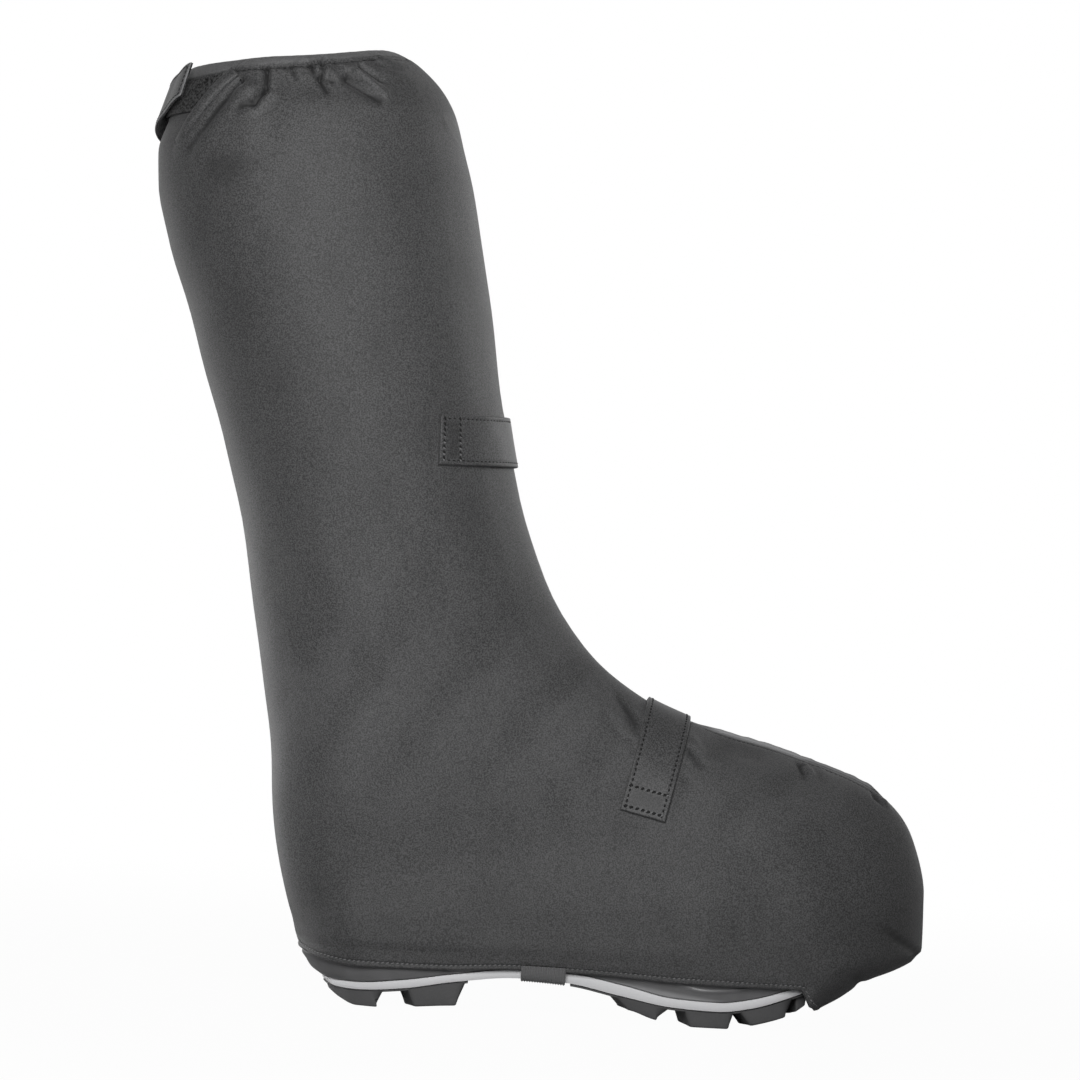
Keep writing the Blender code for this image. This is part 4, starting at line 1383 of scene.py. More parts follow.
def places_along(nodes, edges, distance):
    """Curve along edges, with its points a distance apart."""
    path = nodes.add("GeometryNodeMeshToCurve", None, {"Mesh": edges})
    sockets = {"Curve": path, "Length": distance}
    return nodes.add("GeometryNodeResampleCurve", {"mode": "LENGTH"}, sockets)


def close_tree(nodes, geometry, material):
    """Ends a tree in plain geometry with its material."""
    whole = nodes.add("GeometryNodeRealizeInstances", None, {"Geometry": geometry})
    smooth = nodes.add("GeometryNodeSetShadeSmooth", None, {"Geometry": whole})
    painted = nodes.add("GeometryNodeSetMaterial", None, {"Geometry": smooth, "Material": material})
    nodes.feed(nodes.tree.nodes.new("NodeGroupOutput").inputs["Geometry"], painted)
    return nodes.tree


def stitch_tree():
    """Stitches along edges: small leaning lozenges of thread, one to a pitch."""
    nodes, given = geometry_tree("stitches", ("Pitch", "Stitch", "Thread", "Rise", "Lean"))
    places = places_along(nodes, given["Geometry"], given["Pitch"])
    thread = nodes.add("GeometryNodeMeshUVSphere", None, {"Segments": 8, "Rings": 5, "Radius": 0.5})
    up = nodes.add("GeometryNodeInputNamedAttribute", {"data_type": "FLOAT_VECTOR"}, {"Name": "up"})
    along = nodes.add("GeometryNodeInputTangent")
    settings = {"primary_axis": "Z", "secondary_axis": "X"}
    turned = nodes.add(
        "FunctionNodeAxesToRotation", settings, {"Primary Axis": up, "Secondary Axis": along}
    )
    lean = nodes.add(
        "FunctionNodeAxisAngleToRotation", None, {"Axis": (0.0, 0.0, 1.0), "Angle": given["Lean"]}
    )
    sockets = {"Rotation": turned, "Rotate By": lean}
    leaning = nodes.add("FunctionNodeRotateRotation", {"rotation_space": "LOCAL"}, sockets)
    sizes = {"X": given["Stitch"], "Y": given["Thread"], "Z": given["Rise"]}
    scale = nodes.add("ShaderNodeCombineXYZ", None, sizes)
    sockets = {"Points": places, "Instance": thread, "Rotation": leaning, "Scale": scale}
    sewn = nodes.add("GeometryNodeInstanceOnPoints", None, sockets)
    return close_tree(nodes, sewn, given["Material"])


def rib_tree():
    """Ribs along edges: round cords with closed ends."""
    nodes, given = geometry_tree("ribs", ("Step", "Radius"))
    places = places_along(nodes, given["Geometry"], given["Step"])
    sockets = {"Resolution": 8, "Radius": given["Radius"]}
    profile = nodes.add("GeometryNodeCurvePrimitiveCircle", None, sockets)
    sockets = {"Curve": places, "Profile Curve": profile, "Fill Caps": True}
    cords = nodes.add("GeometryNodeCurveToMesh", None, sockets)
    return close_tree(nodes, cords, given["Material"])


def run_tree(made, tree, values):
    """Runs a geometry tree on an object and keeps the result as its plain mesh."""
    modifier = made.modifiers.new(tree.name, "NODES")
    modifier.node_group = tree
    for item in tree.interface.items_tree:
        if item.in_out == "INPUT" and item.name in values:
            modifier[item.identifier] = values[item.name]
    apply_modifiers(made)


def sew(name, lines, material, slot, stitches=PLAIN_STITCHES):
    """Piece with all the stitches along some lines."""
    sewing = bpy.context.scene.overshoe_sewing
    made = polyline_object(name, lines)
    thread = sewing.thread * stitches.thread
    values = {
        "Pitch": sewing.pitch * stitches.pitch,
        "Stitch": sewing.stitch * stitches.stitch,
        "Thread": thread,
        "Rise": thread * THREAD_RISE,
        "Lean": stitches.lean,
        "Material": material,
    }
    run_tree(made, bpy.data.node_groups.get("stitches") or stitch_tree(), values)
    hand_over(made, slot)


Band = namedtuple("Band", "base normals levels arcs")


def strap_band(strap):
    """Underside of a strap on the upper, levels by points along it, and their distances."""
    shares = np.linspace(0.5 - strap.reach, 0.5 + strap.reach, STRAP_SEARCH_SHARES)
    steps = np.linspace(strap.step_low, strap.step_high, STRAP_SEARCH_STEPS)
    surface = skin_grid(steps, shares)
    outwards = grid_normals(surface)
    heights = surface @ np.array(strap.across)
    levels = crowded_ends(strap.low, strap.high, STRAP_LEVELS)
    middle = len(shares) // 2
    base = []
    normals = []
    for level in levels:
        rows = []
        for j in range(len(shares)):
            order = np.argsort(heights[:, j])
            rows.append(np.interp(level, heights[order, j], order.astype(float)))
        low = np.minimum(np.array(rows).astype(int), len(steps) - 2)
        f = (np.array(rows) - low)[:, None]
        at = np.arange(len(shares))
        points = between(surface[low, at], surface[low + 1, at], f)
        ways = unit(between(outwards[low, at], outwards[low + 1, at], f))
        place = points @ np.array(strap.along)
        first = np.interp(strap.end, place[: middle + 1], at[: middle + 1])
        last = 2 * middle - np.interp(strap.end, place[: middle - 1 : -1], at[: middle + 1])
        gone = lengths_along(points)
        ends = np.interp([first, last], at, gone)
        wanted = crowded_ends(*ends, STRAP_POINTS)
        points = points + STRAP_GAP * ways
        base.append(read_line(points, gone, wanted))
        normals.append(read_line(ways, gone, wanted))
    base = np.array(base)
    arcs = lengths_along(base[len(levels) // 2])
    return Band(base, unit(np.array(normals)), levels - strap.low, arcs)


def read_band(band, level, arc):
    """Point and outward direction at a level and a distance along a band."""
    i = np.interp(level, band.levels, np.arange(len(band.levels)))
    j = np.interp(arc, band.arcs, np.arange(len(band.arcs)))
    low = min(int(i), len(band.levels) - 2)
    left = min(int(j), len(band.arcs) - 2)
    read = []
    for grid in (band.base, band.normals):
        first = between(grid[low, left], grid[low, left + 1], j - left)
        second = between(grid[low + 1, left], grid[low + 1, left + 1], j - left)
        read.append(between(first, second, i - low))
    return read


def band_line(band, stations, lift):
    """Line through stations of level and distance, lifted off the band's underside."""
    points = []
    ups = []
    for (level, arc), (next_level, next_arc) in zip(stations, stations[1:]):
        for f in np.linspace(0, 1, BAND_LINE_POINTS, endpoint=False):
            point, up = read_band(band, level + f * (next_level - level), arc + f * (next_arc - arc))
            points.append(point + lift * up)
            ups.append(up)
    point, up = read_band(band, *stations[-1])
    return Line(np.array([*points, point + lift * up]), np.array([*ups, up]))


def rounded_height(distance, thick):
    """Height of a sheet's face near its rounded edge."""
    return thick * (STRAP_EDGE_LEAST + (1 - STRAP_EDGE_LEAST) * round_end(distance, STRAP_EDGE_ROUND))


def edge_distance(band):
    """Distance of each point of a band from its nearest edge, and from its nearest long edge."""
    across = np.minimum(band.levels, band.levels[-1] - band.levels)
    along = np.minimum(band.arcs, band.arcs[-1] - band.arcs)
    long_edge = np.repeat(across[:, None], len(along), axis=1)
    return np.minimum(long_edge, along[None, :]), long_edge


def strap_heights(band, thick):
    """Upper face of a strap: rounded edges, sunk sewing lines and slightly uneven cloth."""
    nearest, long_edge = edge_distance(band)
    height = rounded_height(nearest, thick)
    height = height - STRAP_GROOVE_DEPTH * bell(long_edge - STRAP_SEWING_INSET, STRAP_GROOVE_WIDTH)
    along = np.sin(2 * math.pi * band.arcs / STRAP_WAVE_LENGTH)
    waves = along[None, :] * np.sin(band.levels / STRAP_WAVE_WIDTH)[:, None]
    return height + STRAP_WAVE_HEIGHT * waves * np.minimum(nearest, 1.0)


def strap_lines(band, thick, bars):
    """Sewing of a strap: lines along its long edges, and bars across its two ends."""
    top = band.levels[-1]
    end = band.arcs[-1]
    inset = STRAP_SEWING_INSET
    lift = thick - STRAP_GROOVE_DEPTH * STRAP_STITCH_SINK
    long_lines = [
        band_line(band, [(level, inset), (level, end / 2), (level, end - inset)], lift)
        for level in (inset, top - inset)
    ]
    bar_lines = []
    bar_loops = []
    for bar in bars:
        for place in (bar, end - bar):
            end_of_bar = (top - inset, place)
            bar_lines.append(band_line(band, [(inset, place), end_of_bar], thick + BAR_RISE))
            bar_loops.append(band_line(band, [(inset + BAR_LOOP, place), end_of_bar], thick))
    return long_lines, bar_lines, bar_loops


def strap_box_and_painted_sheen(band, bars):
    """Darker box between the bars at each end of a strap, and painted sheen on the crest over the front.
    """
    from_end = np.minimum(band.arcs, band.arcs[-1] - band.arcs)
    first, second = bars
    box = smooth_step((from_end - first) / BAR_BOX_FADE) * smooth_step((second - from_end) / BAR_BOX_FADE)
    from_edge = np.minimum(band.levels, band.levels[-1] - band.levels)
    inside = smooth_step((from_edge - STRAP_SEWING_INSET) / BAR_BOX_FADE)
    crest = CREST_PAINTED_SHEEN * bell(band.arcs - band.arcs[-1] / 2, CREST_SHEEN_REACH)
    return crest[None, :] - BAR_BOX_DARK * inside[:, None] * box[None, :]


def tab_band():
    """Underside of the hook tab round the back of the collar, its free end standing off."""
    tab = COLLAR_TAB
    shares = np.linspace(tab.start, tab.end, tab.columns)
    drop = TAB_RISE * (tab.end - shares)
    low = np.array([skin(tab.low - d, [share])[0] for d, share in zip(drop, shares)])
    high = np.array([skin(tab.high - d, [share])[0] for d, share in zip(drop, shares)])
    halfway = (tab.low + tab.high) / 2
    outwards = np.array([skin_normals(halfway - d, [share])[0] for d, share in zip(drop, shares)])
    free = smooth_step((shares - tab.end + TAB_END_SHARE) / TAB_END_SHARE)
    stand_off = TAB_STAND_OFF + TAB_END_LIFT * free
    rows = crowded_ends(0.0, 1.0, tab.rows)
    base = np.array([low + f * (high - low) + stand_off[:, None] * outwards for f in rows])
    normals = np.repeat(outwards[None], tab.rows, axis=0)
    width = np.linalg.norm(high - low, axis=1).mean()
    return Band(base, normals, rows * width, lengths_along(base[tab.rows // 2]))


def turned_edge_band():
    """Rolled edge of the cloth that runs down from the cuff beside the closure."""
    edge = TURNED_EDGE
    start = find_place(edge.x1, edge.z1)
    end = find_place(edge.x2, edge.z2)
    places = [start + f * (end - start) for f in np.linspace(0, 1, TURNED_EDGE_POINTS)]
    middle = np.array([skin(step, [share])[0] for step, share in places])
    outwards = np.array([skin_normals(step, [share])[0] for step, share in places])
    across = unit(np.cross(np.gradient(middle, axis=0), outwards))
    levels = crowded_ends(-edge.width / 2, edge.width / 2, TURNED_EDGE_COLUMNS)
    base = np.array([middle + level * across for level in levels])
    normals = np.repeat(outwards[None], len(levels), axis=0)
    return Band(base, normals, levels + edge.width / 2, lengths_along(middle))


def turned_edge_part():
    """Rolled edge beside the closure, highest in its middle and lifted off at its upper end."""
    edge = turned_edge_band()
    least = TURNED_EDGE_TIP
    share = 2 * edge.levels / edge.levels[-1] - 1
    along = edge.arcs / edge.arcs[-1]
    ends = np.sin(math.pi * np.clip(along, least, 1 - least)) ** TURNED_EDGE_BLUNT
    roll = TURNED_EDGE.height * np.sqrt(np.clip(1 - share**2, least, 1))[:, None] * ends[None, :]
    lift = TURNED_EDGE_LIFT * smooth_step((1 - along) / TURNED_EDGE_LIFT_SHARE)
    under = np.full_like(roll, -TURNED_EDGE_UNDER) + lift / 2
    return band_part(edge.base, edge.normals, roll + lift + TURNED_EDGE_OVER, under)


def loop_patch_part():
    """Loop patch round the back of the collar, thin where it lies under the cloth."""
    patch = COLLAR_LOOP
    shares = np.linspace(patch.start, patch.end, patch.columns)
    highs = np.minimum(patch.high, cuff_step(shares) - PATCH_CUFF_GAP)
    columns = []
    for share, high in zip(shares, highs):
        columns.append([skin(step, [share])[0] for step in np.linspace(patch.low, high, patch.rows)])
    surface = np.array(columns).transpose(1, 0, 2)
    normals = grid_normals(surface)
    tufts = np.random.default_rng(TUFT_SEED).uniform(-TUFT_HEIGHT, TUFT_HEIGHT, surface.shape[:2])
    hidden = (surface[..., 1] < 0) * past_turned_edge(surface[..., 0], surface[..., 2])
    base = surface + (STRAP_GAP - PATCH_SINK * hidden)[..., None] * normals
    top = (PATCH_THICK + tufts) * (1 - PATCH_THIN * hidden)
    return band_part(base, normals, top)


def tab_layer(band, nearest, low, high):
    """One layer of the hook tab between two heights, with rounded edges and a sunk sewing line."""
    top = low + rounded_height(nearest, high - low)
    top = top - STRAP_GROOVE_DEPTH * bell(nearest - TAB_SEWING_INSET, STRAP_GROOVE_WIDTH)
    return band_part(band.base, band.normals, top, np.full_like(top, low))


def elastic_path(x):
    """Across the foot at x: down the outer side, under the arch and up the inner side."""
    half = sole_half(x)
    middle = column(PLAN, "shift", x)
    under = column(SOLE, "bottom", x) - GAP
    stand_off = SECTIONS[1].spread + STRAP_GAP
    turn = [(half + bend.stand_share * stand_off, under + bend.rise) for bend in ELASTIC_TURN]
    side = [
        (half + stand_off, ELASTIC_TOP),
        (half + stand_off, column(HEM, "z", x) - ELASTIC_HEM_DROP),
        *turn,
        (half - ELASTIC_FLAT_INSET, under),
        (ELASTIC_MIDDLE_SHARE * half, under),
    ]
    outer = [(x, middle - y, z) for y, z in side]
    inner = [(x, middle + y, z) for y, z in reversed(side)]
    corners = np.array([*outer, *inner])
    gone = lengths_along(corners)
    at = np.linspace(0, gone[-1], ELASTIC_POINTS)
    return np.column_stack([curve(gone, corners[:, axis], at) for axis in range(3)])


def elastic_band():
    """Inner face of the elastic under the arch."""
    xs = np.linspace(*ELASTIC_X, ELASTIC_LEVELS)
    base = np.array([elastic_path(x) for x in xs])
    return Band(base, grid_normals(base), xs - xs[0], lengths_along(base[len(xs) // 2]))


def slab_rings(xs, bottom, top, inset, edge, columns=9, side_steps=7):
    """Rings of a slab under the foot, its sides bowed out by edge between bottom and top."""
    across = np.linspace(-1, 1, columns)
    rise = np.linspace(0, 1, side_steps + 2)[1:-1]
    bow = 1 - np.abs(2 * rise - 1) ** BOW_POWER
    rings = []
    for x in xs:
        half = max(sole_half(x) - inset, 1.0)
        middle = column(PLAN, "shift", x)
        flat = half - edge
        low = bottom(x)
        high = top(x)
        ring = [(x, middle + f * flat, low) for f in across]
        ring += [(x, middle + flat + edge * b, low + f * (high - low)) for f, b in zip(rise, bow)]
        ring += [(x, middle + f * flat, high) for f in across[::-1]]
        ring += [(x, middle - flat - edge * b, high - f * (high - low)) for f, b in zip(rise, bow)]
        rings.append(ring)
    return rings


def foam_bottom(x):
    """Underside of the light band."""
    return column(SOLE, "bottom", x)


def foam_top(x):
    """Upper side of the light band."""
    return column(SOLE, "top", x)


def layer_top(x):
    """Upper side of the tread's thin layer."""
    return foam_bottom(x) - GAP


def layer_bottom(x):
    """Underside of the tread's thin layer."""
    return foam_bottom(x) - GAP - TREAD_LAYER


def lug_outline(rear, front, edge, side):
    """Plan of a lug between two places along the sole, with its corners eased."""
    f = np.linspace(0, 1, LUG_STEPS)
    xs = rear + f * (front - rear)
    reach = side * (sole_half(xs) - edge)
    inner_xs = np.maximum(xs - LUG_SWEEP, LUG_REAR_STOP)
    inner_reach = side * LUG_INNER_SHARE * sole_half(xs)
    outer_line = np.column_stack([xs, column(PLAN, "shift", xs) + reach])
    inner_line = np.column_stack([inner_xs, column(PLAN, "shift", inner_xs) + inner_reach])
    loop = np.concatenate([outer_line, inner_line[::-1], outer_line[:1]])
    gone = lengths_along(loop)
    at = np.linspace(0, gone[-1], LUG_POINTS, endpoint=False)
    ring = read_line(loop, gone, at)
    for _ in range(LUG_EASE):
        ring = (np.roll(ring, 1, axis=0) + 2 * ring + np.roll(ring, -1, axis=0)) / 4
    return ring


def lug_rings(lug, side, bevel):
    """Rings of one lug from inside the layer down to the floor, rounded at its foot."""
    move = lug.inner_move if side > 0 else 0.0
    top = lug_outline(lug.rear + move, lug.front + move, lug.edge, side)
    foot = lug_outline(lug.foot_rear + move, lug.foot_front + move, lug.edge + LUG_DRAFT, side)
    top_z = foam_bottom(top[:, 0]) - GAP - TREAD_LAYER / 2
    foot_z = column(TREAD, "z", foot[:, 0])
    top = np.column_stack([top, top_z])
    foot = np.column_stack([foot, foot_z])
    middle = foot.mean(axis=0)
    size = np.linalg.norm(foot - middle, axis=1, keepdims=True)
    tall = np.maximum(top_z - foot_z, 1.0)[:, None]
    turns = np.linspace(0, math.pi / 2, LUG_ROUND_STEPS)
    rings = [top, top + (foot - top) * 0.5]
    for turn in turns:
        ring = foot + (top - foot) * np.minimum(bevel * (1 - math.sin(turn)) / tall, 1.0)
        rings.append(ring + (middle - foot) / size * bevel * (1 - math.cos(turn)) * (1, 1, 0))
    for share in LUG_FLOOR_SHARES:
        plan = middle + (rings[LUG_ROUND_STEPS + 1] - middle) * share
        rings.append(np.column_stack([plan[:, :2], column(TREAD, "z", plan[:, 0])]))
    return rings


def make_tread(name, reach, lugs, bevel, material):
    """Thin rubber layer with its rounded lugs let into it."""
    xs = crowded_ends(*reach, TREAD_STATIONS)
    parts = [loft_part(slab_rings(xs, layer_bottom, layer_top, TREAD_INSET, TREAD_BOW))]
    parts += [loft_part(lug_rings(lug, side, bevel)) for lug in lugs for side in (-1, 1)]
    made = make_piece(name, parts, [material])
    face_outwards(made)
    made.data.set_sharp_from_angle(angle=TREAD_SHARP)
    return made


def piping_rise(x, z):
    """Height of the piping line on the rand."""
    xs = np.clip(x, RAND_PIPING[0].x, RAND_PIPING[-1].x)
    off = np.hypot(z - column(RAND_PIPING, "z", xs), x - xs)
    return PIPING_RISE * bell(off, PIPING_WIDTH)


def rand_line(height):
    """One line round the rand, at a share of its height, leaning back at the heel."""
    xs = crowded_ends(SOLE_TIP, SOLE_LENGTH - SOLE_TIP, RAND_STATIONS)
    out = column(RAND_OUT, "out", height)
    lean = RAND_HEEL_LEAN * out
    heel = smooth_step(1 - xs / RAND_HEEL_REACH)
    bottom = foam_top(xs) + GAP
    z = bottom + height * (column(RAND_TOP, "z", xs) - bottom)
    first, second = RAND_HEEL_END
    end_x = first.x + (z - first.z) * (second.x - first.x) / (second.z - first.z)
    counter = COUNTER_RISE * smooth_step((end_x - xs) / COUNTER_EDGE)
    half = np.maximum(sole_half(xs) - RAND_INSET + RAND_FLARE * height, RAND_WALL)
    half = half + piping_rise(xs, z) + counter * smooth_step(xs / COUNTER_FADE)
    half = half + RAND_HEEL_WIDE * out * smooth_step((RAND_SIDE_REACH - xs) / RAND_SIDE_FADE)
    middle = column(PLAN, "shift", xs)
    outer = np.column_stack([xs - lean * heel, middle - half, z])
    inner = np.column_stack([xs - lean * heel, middle + half, z])
    return [*outer, *inner[::-1]]


class OVERSHOE_OT_upper(bpy.types.Operator):
    """Makes the cloth upper with its folds, seam, cuff and hem, and the sewing on it"""

    bl_idname = "overshoe.upper"
    bl_label = "Cloth upper"

    def execute(self, context):
        settings = context.scene.overshoe_cloth
        steps = np.append(spread(ROWS), COLLAR_STEP)
        cloth = cloth_frame(steps, spread(COLUMNS))
        height = cloth_relief(cloth, steps, settings)
        outer = cloth.points + height[..., None] * cloth.normals
        look = woven_finish("coated_cloth", settings.colour, settings.weave)
        made = self.add_wall(cloth, height, outer, settings.wall / MM, look)
        # Painted shade in creases, low down and towards the toe, painted light along the vamp seam and at
        # the ankle, and the lighter cuff
        tone = crease_painted_shade(height) + seam_painted_light(cloth, steps) + cuff_tone(cloth) + painted_height_light(cloth)
        lay_light_and_shade(made, tone)
        hand_over(made, "cloth", "upper")
        self.sew_lines(context.scene.overshoe_sewing, cloth, steps, outer)
        turned = make_piece("collar_turned_edge", [turned_edge_part()], [look])
        face_outwards(turned)
        hand_over(turned, "cloth")
        return {"FINISHED"}

    def add_wall(self, cloth, height, outer, wall, look):
        """Cloth wall between its outer face and a coarser inner face, with its sheet laid on it."""
        last = len(outer) - 1
        rows = [*range(0, last, INNER_ROW_STRIDE), last]
        chosen = np.ix_(rows, range(0, outer.shape[1], INNER_COLUMN_STRIDE))
        depth = lowest_near(height, INNER_ROW_STRIDE, INNER_COLUMN_STRIDE) - wall
        inner = (cloth.points + depth[..., None] * cloth.normals)[chosen]
        made = make_piece("upper_cloth", [cloth_part(outer, inner)], [look])
        across = np.concatenate([cloth.beside.ravel(), cloth.beside[chosen].ravel()])
        up = np.concatenate([cloth.up.ravel(), cloth.up[chosen].ravel()])
        girth = float((cloth.beside[:, -1] - cloth.beside[:, 0]).mean())
        lay_sheet(made, across, up, girth)
        return made

    def sew_lines(self, sewing, cloth, steps, outer):
        """Sewing of the hem, of the collar's cuff and along the vamp seam."""
        normals = grid_normals(outer, closed=True)
        light = speckled_finish("light_thread", sewing.light, THREAD_LOOK)
        dark = speckled_finish("dark_thread", sewing.dark, THREAD_LOOK)
        hem = column(HEM_SEWING, "z", cloth.points[0, :, 0])
        hem_line = line_at_height(cloth, outer, normals, hem)
        sew("hem_stitches", [hem_line], light, "cloth", HEM_STITCHES)
        collar_line = line_at_height(cloth, outer, normals, cloth.start_up)
        sew("collar_stitches", [collar_line], dark, "cloth", COLLAR_STITCHES)
        first, last = SEAM_SEWN
        sewn = np.flatnonzero((steps > first) & (steps < last))
        lines = [line_beside(cloth, outer, normals, sewn, off) for off in (-SEAM_SEWING, SEAM_SEWING)]
        sew("vamp_stitches", lines, dark, "cloth", VAMP_STITCHES)


class OVERSHOE_OT_straps(bpy.types.Operator):
    """Makes the shin strap and the instep strap with their sewing"""

    bl_idname = "overshoe.straps"
    bl_label = "Straps"

    def execute(self, context):
        trim = context.scene.overshoe_trim
        look = woven_finish("strap_cloth", trim.strap_colour, context.scene.overshoe_cloth.weave)
        light = bpy.data.materials["light_thread"]
        dark = bpy.data.materials["dark_thread"]
        slot = "strap_webbing"
        thick = trim.strap / MM
        for name, strap, bars, edge_stitches in (
            ("shin_strap", SHIN_STRAP, SHIN_BARS, SHIN_STITCHES),
            ("instep_strap", INSTEP_STRAP, INSTEP_BARS, INSTEP_STITCHES),
        ):
            band = strap_band(strap)
            top = strap_heights(band, thick)
            made = make_piece(name + "_cloth", [band_part(band.base, band.normals, top)], [look])
            face_outwards(made)
            hand_over(made, slot, name)
            # Painted sheen on the strap's crest, and the darker box between its bars
            lay_light_and_shade(made, strap_box_and_painted_sheen(band, bars))
            long_lines, bar_lines, bar_loops = strap_lines(band, thick, bars)
            sew(name + "_edge_stitches", long_lines, dark, slot, edge_stitches)
            sew(name + "_bar_stitches", bar_lines, light, slot, BAR_STITCHES)
            sew(name + "_bar_loops", bar_loops, dark, slot, BAR_LOOPS)
        return {"FINISHED"}


class OVERSHOE_OT_closure(bpy.types.Operator):
    """Makes the loop patch and the doubled hook tab of the collar"""

    bl_idname = "overshoe.closure"
    bl_label = "Collar closure"

    def execute(self, context):
        trim = context.scene.overshoe_trim
        pile = pile_finish("loop_pile", trim.pile_colour)
        made = make_piece("collar_loop_patch", [loop_patch_part()], [pile])
        face_outwards(made)
        hand_over(made, "loop_pile", "collar_loop")
        band = tab_band()
        nearest, _ = edge_distance(band)
        look = woven_finish("tab_cloth", trim.tab_colour, context.scene.overshoe_cloth.weave)
        layers = [tab_layer(band, nearest, low, high) for low, high in TAB_LAYERS]
        made = make_piece("collar_hook_tab", layers, [pile, look])
        face_outwards(made)
        # Painted highlight on the edges of the tab's outer layer
        rim = TAB_EDGE_HIGHLIGHT * smooth_step((TAB_HIGHLIGHT_WIDTH - nearest) / TAB_HIGHLIGHT_FADE)
        lay_light_and_shade(made, np.stack([0 * rim, 0 * rim, rim]))
        hand_over(made, "hook_tab", "collar_tab")
        top = band.levels[-1]
        end = band.arcs[-1]
        inset = TAB_SEWING_INSET
        lift = TAB_LAYERS[-1][-1]
        corners = [(inset, inset), (inset, end - inset), (top - inset, end - inset), (top - inset, inset)]
        dark = bpy.data.materials["dark_thread"]
        sew("tab_stitches", [band_line(band, corners, lift)], dark, "hook_tab")
        return {"FINISHED"}


class OVERSHOE_OT_elastic(bpy.types.Operator):
    """Makes the ribbed elastic under the arch"""

    bl_idname = "overshoe.elastic"
    bl_label = "Arch elastic"

    def execute(self, context):
        trim = context.scene.overshoe_trim
        look = elastic_finish("ribbed_elastic", trim.elastic_colour)
        band = elastic_band()
        top = np.full(band.base.shape[:2], ELASTIC_THICK)
        made = make_piece("arch_elastic_band", [band_part(band.base, band.normals, top)], [look])
        face_outwards(made)
        hand_over(made, "elastic_webbing", "arch_elastic")
        pitch = trim.rib_pitch / MM
        width = band.levels[-1]
        count = int(width / pitch)
        lines = []
        for k in range(count):
            level = (k + 0.5) * width / count
            stations = [(level, 0.0), (level, band.arcs[-1] / 2), (level, band.arcs[-1])]
            lines.append(band_line(band, stations, ELASTIC_THICK))
        ribs = polyline_object("arch_elastic_ribs", lines)
        run_tree(ribs, rib_tree(), {"Step": RIB_STEP * MM, "Radius": trim.rib, "Material": look})
        hand_over(ribs, "elastic_webbing")
        return {"FINISHED"}


class OVERSHOE_OT_sole(bpy.types.Operator):
    """Makes the light foam band, the rand and the treads, and finishes the insole"""

    bl_idname = "overshoe.sole"
    bl_label = "Sole unit"

    def execute(self, context):
        sole = context.scene.overshoe_sole
        foam = speckled_finish("light_foam", sole.foam, FOAM_LOOK)
        xs = crowded_ends(SOLE_TIP, SOLE_LENGTH - SOLE_TIP, FOAM_STATIONS)
        part = loft_part(slab_rings(xs, foam_bottom, foam_top, 0.0, MIDSOLE_BOW))
        made = make_piece("foam_band", [part], [foam])
        face_outwards(made)
        made.data.set_sharp_from_angle(angle=FOAM_SHARP)
        hand_over(made, "foam", "midsole")
        rubber = speckled_finish("tread_rubber", sole.tread, TREAD_LOOK)
        for node, reach, lugs in (
            ("heel_tread", HEEL_TREAD_X, HEEL_LUGS),
            ("forefoot_tread", FOREFOOT_TREAD_X, FOREFOOT_LUGS),
        ):
            made = make_tread(node + "_rubber", reach, lugs, sole.lug_bevel / MM, rubber)
            hand_over(made, "tread_rubber", node)
        look = rand_finish("rand_rubber", sole.rand, sole.arch)
        grid = np.array([rand_line(height) for height in np.linspace(0, 1, RAND_STEPS)])
        rows, columns = grid.shape[:2]
        part = Part(grid.reshape(-1, 3), grid_faces(rows, columns, closed=True))
        made = make_piece("rand_strip", [part], [look])
        wall = made.modifiers.new("wall", "SOLIDIFY")
        wall.thickness = RAND_WALL * MM
        wall.offset = -1
        wall.use_even_offset = True
        apply_modifiers(made)
        hand_over(made, "rand_rubber", "rand")
        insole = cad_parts["insole"]
        insole.data.materials.clear()
        insole.data.materials.append(speckled_finish("insole_knit", sole.insole, INSOLE_LOOK))
        return {"FINISHED"}


def add_area(light, power):
    """Soft square light that looks at its target."""
    data = bpy.data.lights.new(light.name, "AREA")
    data.shape = "SQUARE"
    data.size = light.size
    data.energy = power
    data.spread = math.radians(light.fan)
    made = bpy.data.objects.new(light.name, data)
    made.location = light.place
    way = Vector(light.target) - Vector(light.place)
    made.rotation_euler = way.to_track_quat("-Z", "Y").to_euler()
    made.visible_camera = False
    bpy.context.scene.collection.objects.link(made)


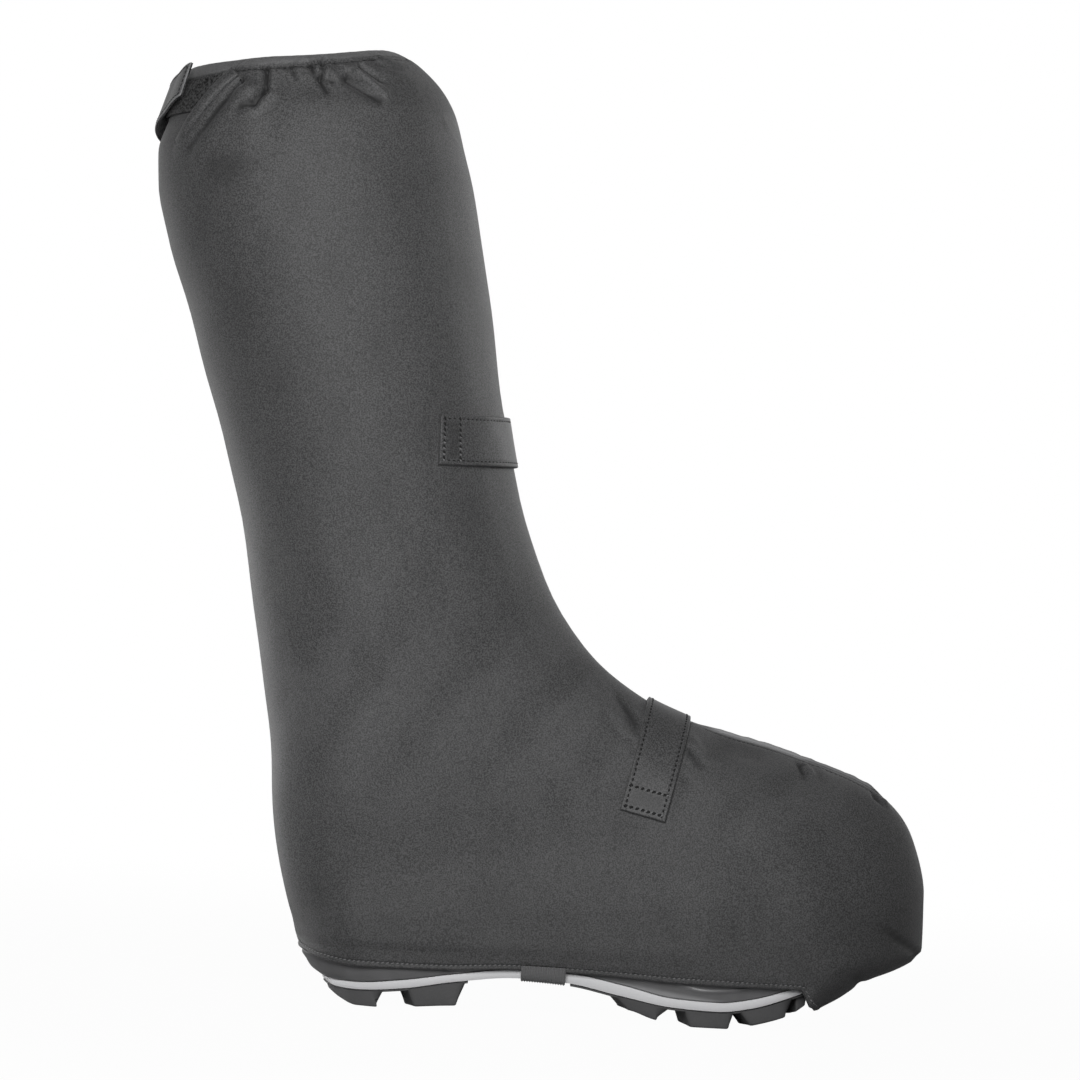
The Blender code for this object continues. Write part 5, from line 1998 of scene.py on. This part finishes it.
class OVERSHOE_OT_stage(bpy.types.Operator):
    """Sets the pale floor, the soft light and the camera"""

    bl_idname = "overshoe.stage"
    bl_label = "Stage"

    def execute(self, context):
        stage = context.scene.overshoe_stage
        context.scene.view_settings.view_transform = "Standard"
        self.add_floor(stage)
        self.add_surround(context.scene, stage)
        for light in LIGHTS:
            add_area(light, getattr(stage, light.setting))
        self.add_camera(context.scene, stage)
        return {"FINISHED"}

    def add_floor(self, stage):
        data = bpy.data.meshes.new("floor")
        mesh = bmesh.new()
        bmesh.ops.create_circle(mesh, cap_ends=True, segments=FLOOR_POINTS, radius=FLOOR_RADIUS)
        mesh.to_mesh(data)
        mesh.free()
        data.materials.append(floor_finish("pale_floor", stage.floor, stage.glow))
        floor = bpy.data.objects.new("floor", data)
        bpy.context.scene.collection.objects.link(floor)

    def add_surround(self, scene, stage):
        world = bpy.data.worlds.new("surround")
        world.use_nodes = True
        scene.world = world
        nodes = Nodes(world.node_tree)
        way = nodes.add("ShaderNodeTexCoord", output="Generated")
        behind = nodes.add("ShaderNodeSeparateXYZ", None, {"Vector": way}, "Y").rise(*SURROUND_BEHIND)
        ceiling = nodes.add("ShaderNodeSeparateXYZ", None, {"Vector": way}, "Z").rise(*SURROUND_OVERHEAD)
        seen = nodes.add("ShaderNodeLightPath", output="Is Camera Ray")
        light = (behind * (stage.back - stage.front) + stage.front) * (1 - ceiling * (1 - stage.ceiling))
        strength = seen + (1 - seen) * light
        surface = world.node_tree.nodes["Background"]
        nodes.feed(surface.inputs["Strength"], strength)
        nodes.feed(surface.inputs["Color"], (1.0, 1.0, 1.0, 1.0))

    def add_camera(self, scene, stage):
        data = bpy.data.cameras.new("camera")
        data.lens = data.sensor_width * stage.distance / stage.picture
        camera = bpy.data.objects.new("camera", data)
        right = Vector((math.cos(stage.roll), 0.0, math.sin(stage.roll)))
        up = Vector((-math.sin(stage.roll), 0.0, math.cos(stage.roll)))
        back = right.cross(up)
        turn = Matrix((right, up, back)).transposed().to_4x4()
        camera.matrix_world = Matrix.Translation((stage.middle_x, -stage.distance, stage.middle_z)) @ turn
        scene.collection.objects.link(camera)
        scene.camera = camera


SETTINGS = {
    "overshoe_cloth": ClothSettings,
    "overshoe_sewing": SewingSettings,
    "overshoe_trim": TrimSettings,
    "overshoe_sole": SoleSettings,
    "overshoe_stage": StageSettings,
}
OPERATORS = (
    OVERSHOE_OT_upper,
    OVERSHOE_OT_straps,
    OVERSHOE_OT_closure,
    OVERSHOE_OT_elastic,
    OVERSHOE_OT_sole,
    OVERSHOE_OT_stage,
)


class OVERSHOE_PT_panel(bpy.types.Panel):
    """Lists the overshoe's settings and steps"""

    bl_idname = "OVERSHOE_PT_panel"
    bl_label = "Overshoe"
    bl_space_type = "VIEW_3D"
    bl_region_type = "UI"
    bl_category = "Overshoe"

    def draw(self, context):
        for name, group in SETTINGS.items():
            box = self.layout.box()
            box.label(text=group.__doc__)
            for setting in group.__annotations__:
                box.prop(getattr(context.scene, name), setting)
        for operator in OPERATORS:
            self.layout.operator(operator.bl_idname)


def register():
    for name, group in SETTINGS.items():
        bpy.utils.register_class(group)
        setattr(bpy.types.Scene, name, PointerProperty(type=group))
    for operator in OPERATORS:
        bpy.utils.register_class(operator)
    bpy.utils.register_class(OVERSHOE_PT_panel)


def unregister():
    bpy.utils.unregister_class(OVERSHOE_PT_panel)
    for operator in reversed(OPERATORS):
        bpy.utils.unregister_class(operator)
    for name, group in reversed(SETTINGS.items()):
        delattr(bpy.types.Scene, name)
        bpy.utils.unregister_class(group)


def main():
    register()
    bpy.ops.overshoe.upper()
    bpy.ops.overshoe.straps()
    bpy.ops.overshoe.closure()
    bpy.ops.overshoe.elastic()
    bpy.ops.overshoe.sole()
    bpy.ops.overshoe.stage()


if __name__ == "__main__":
    main()
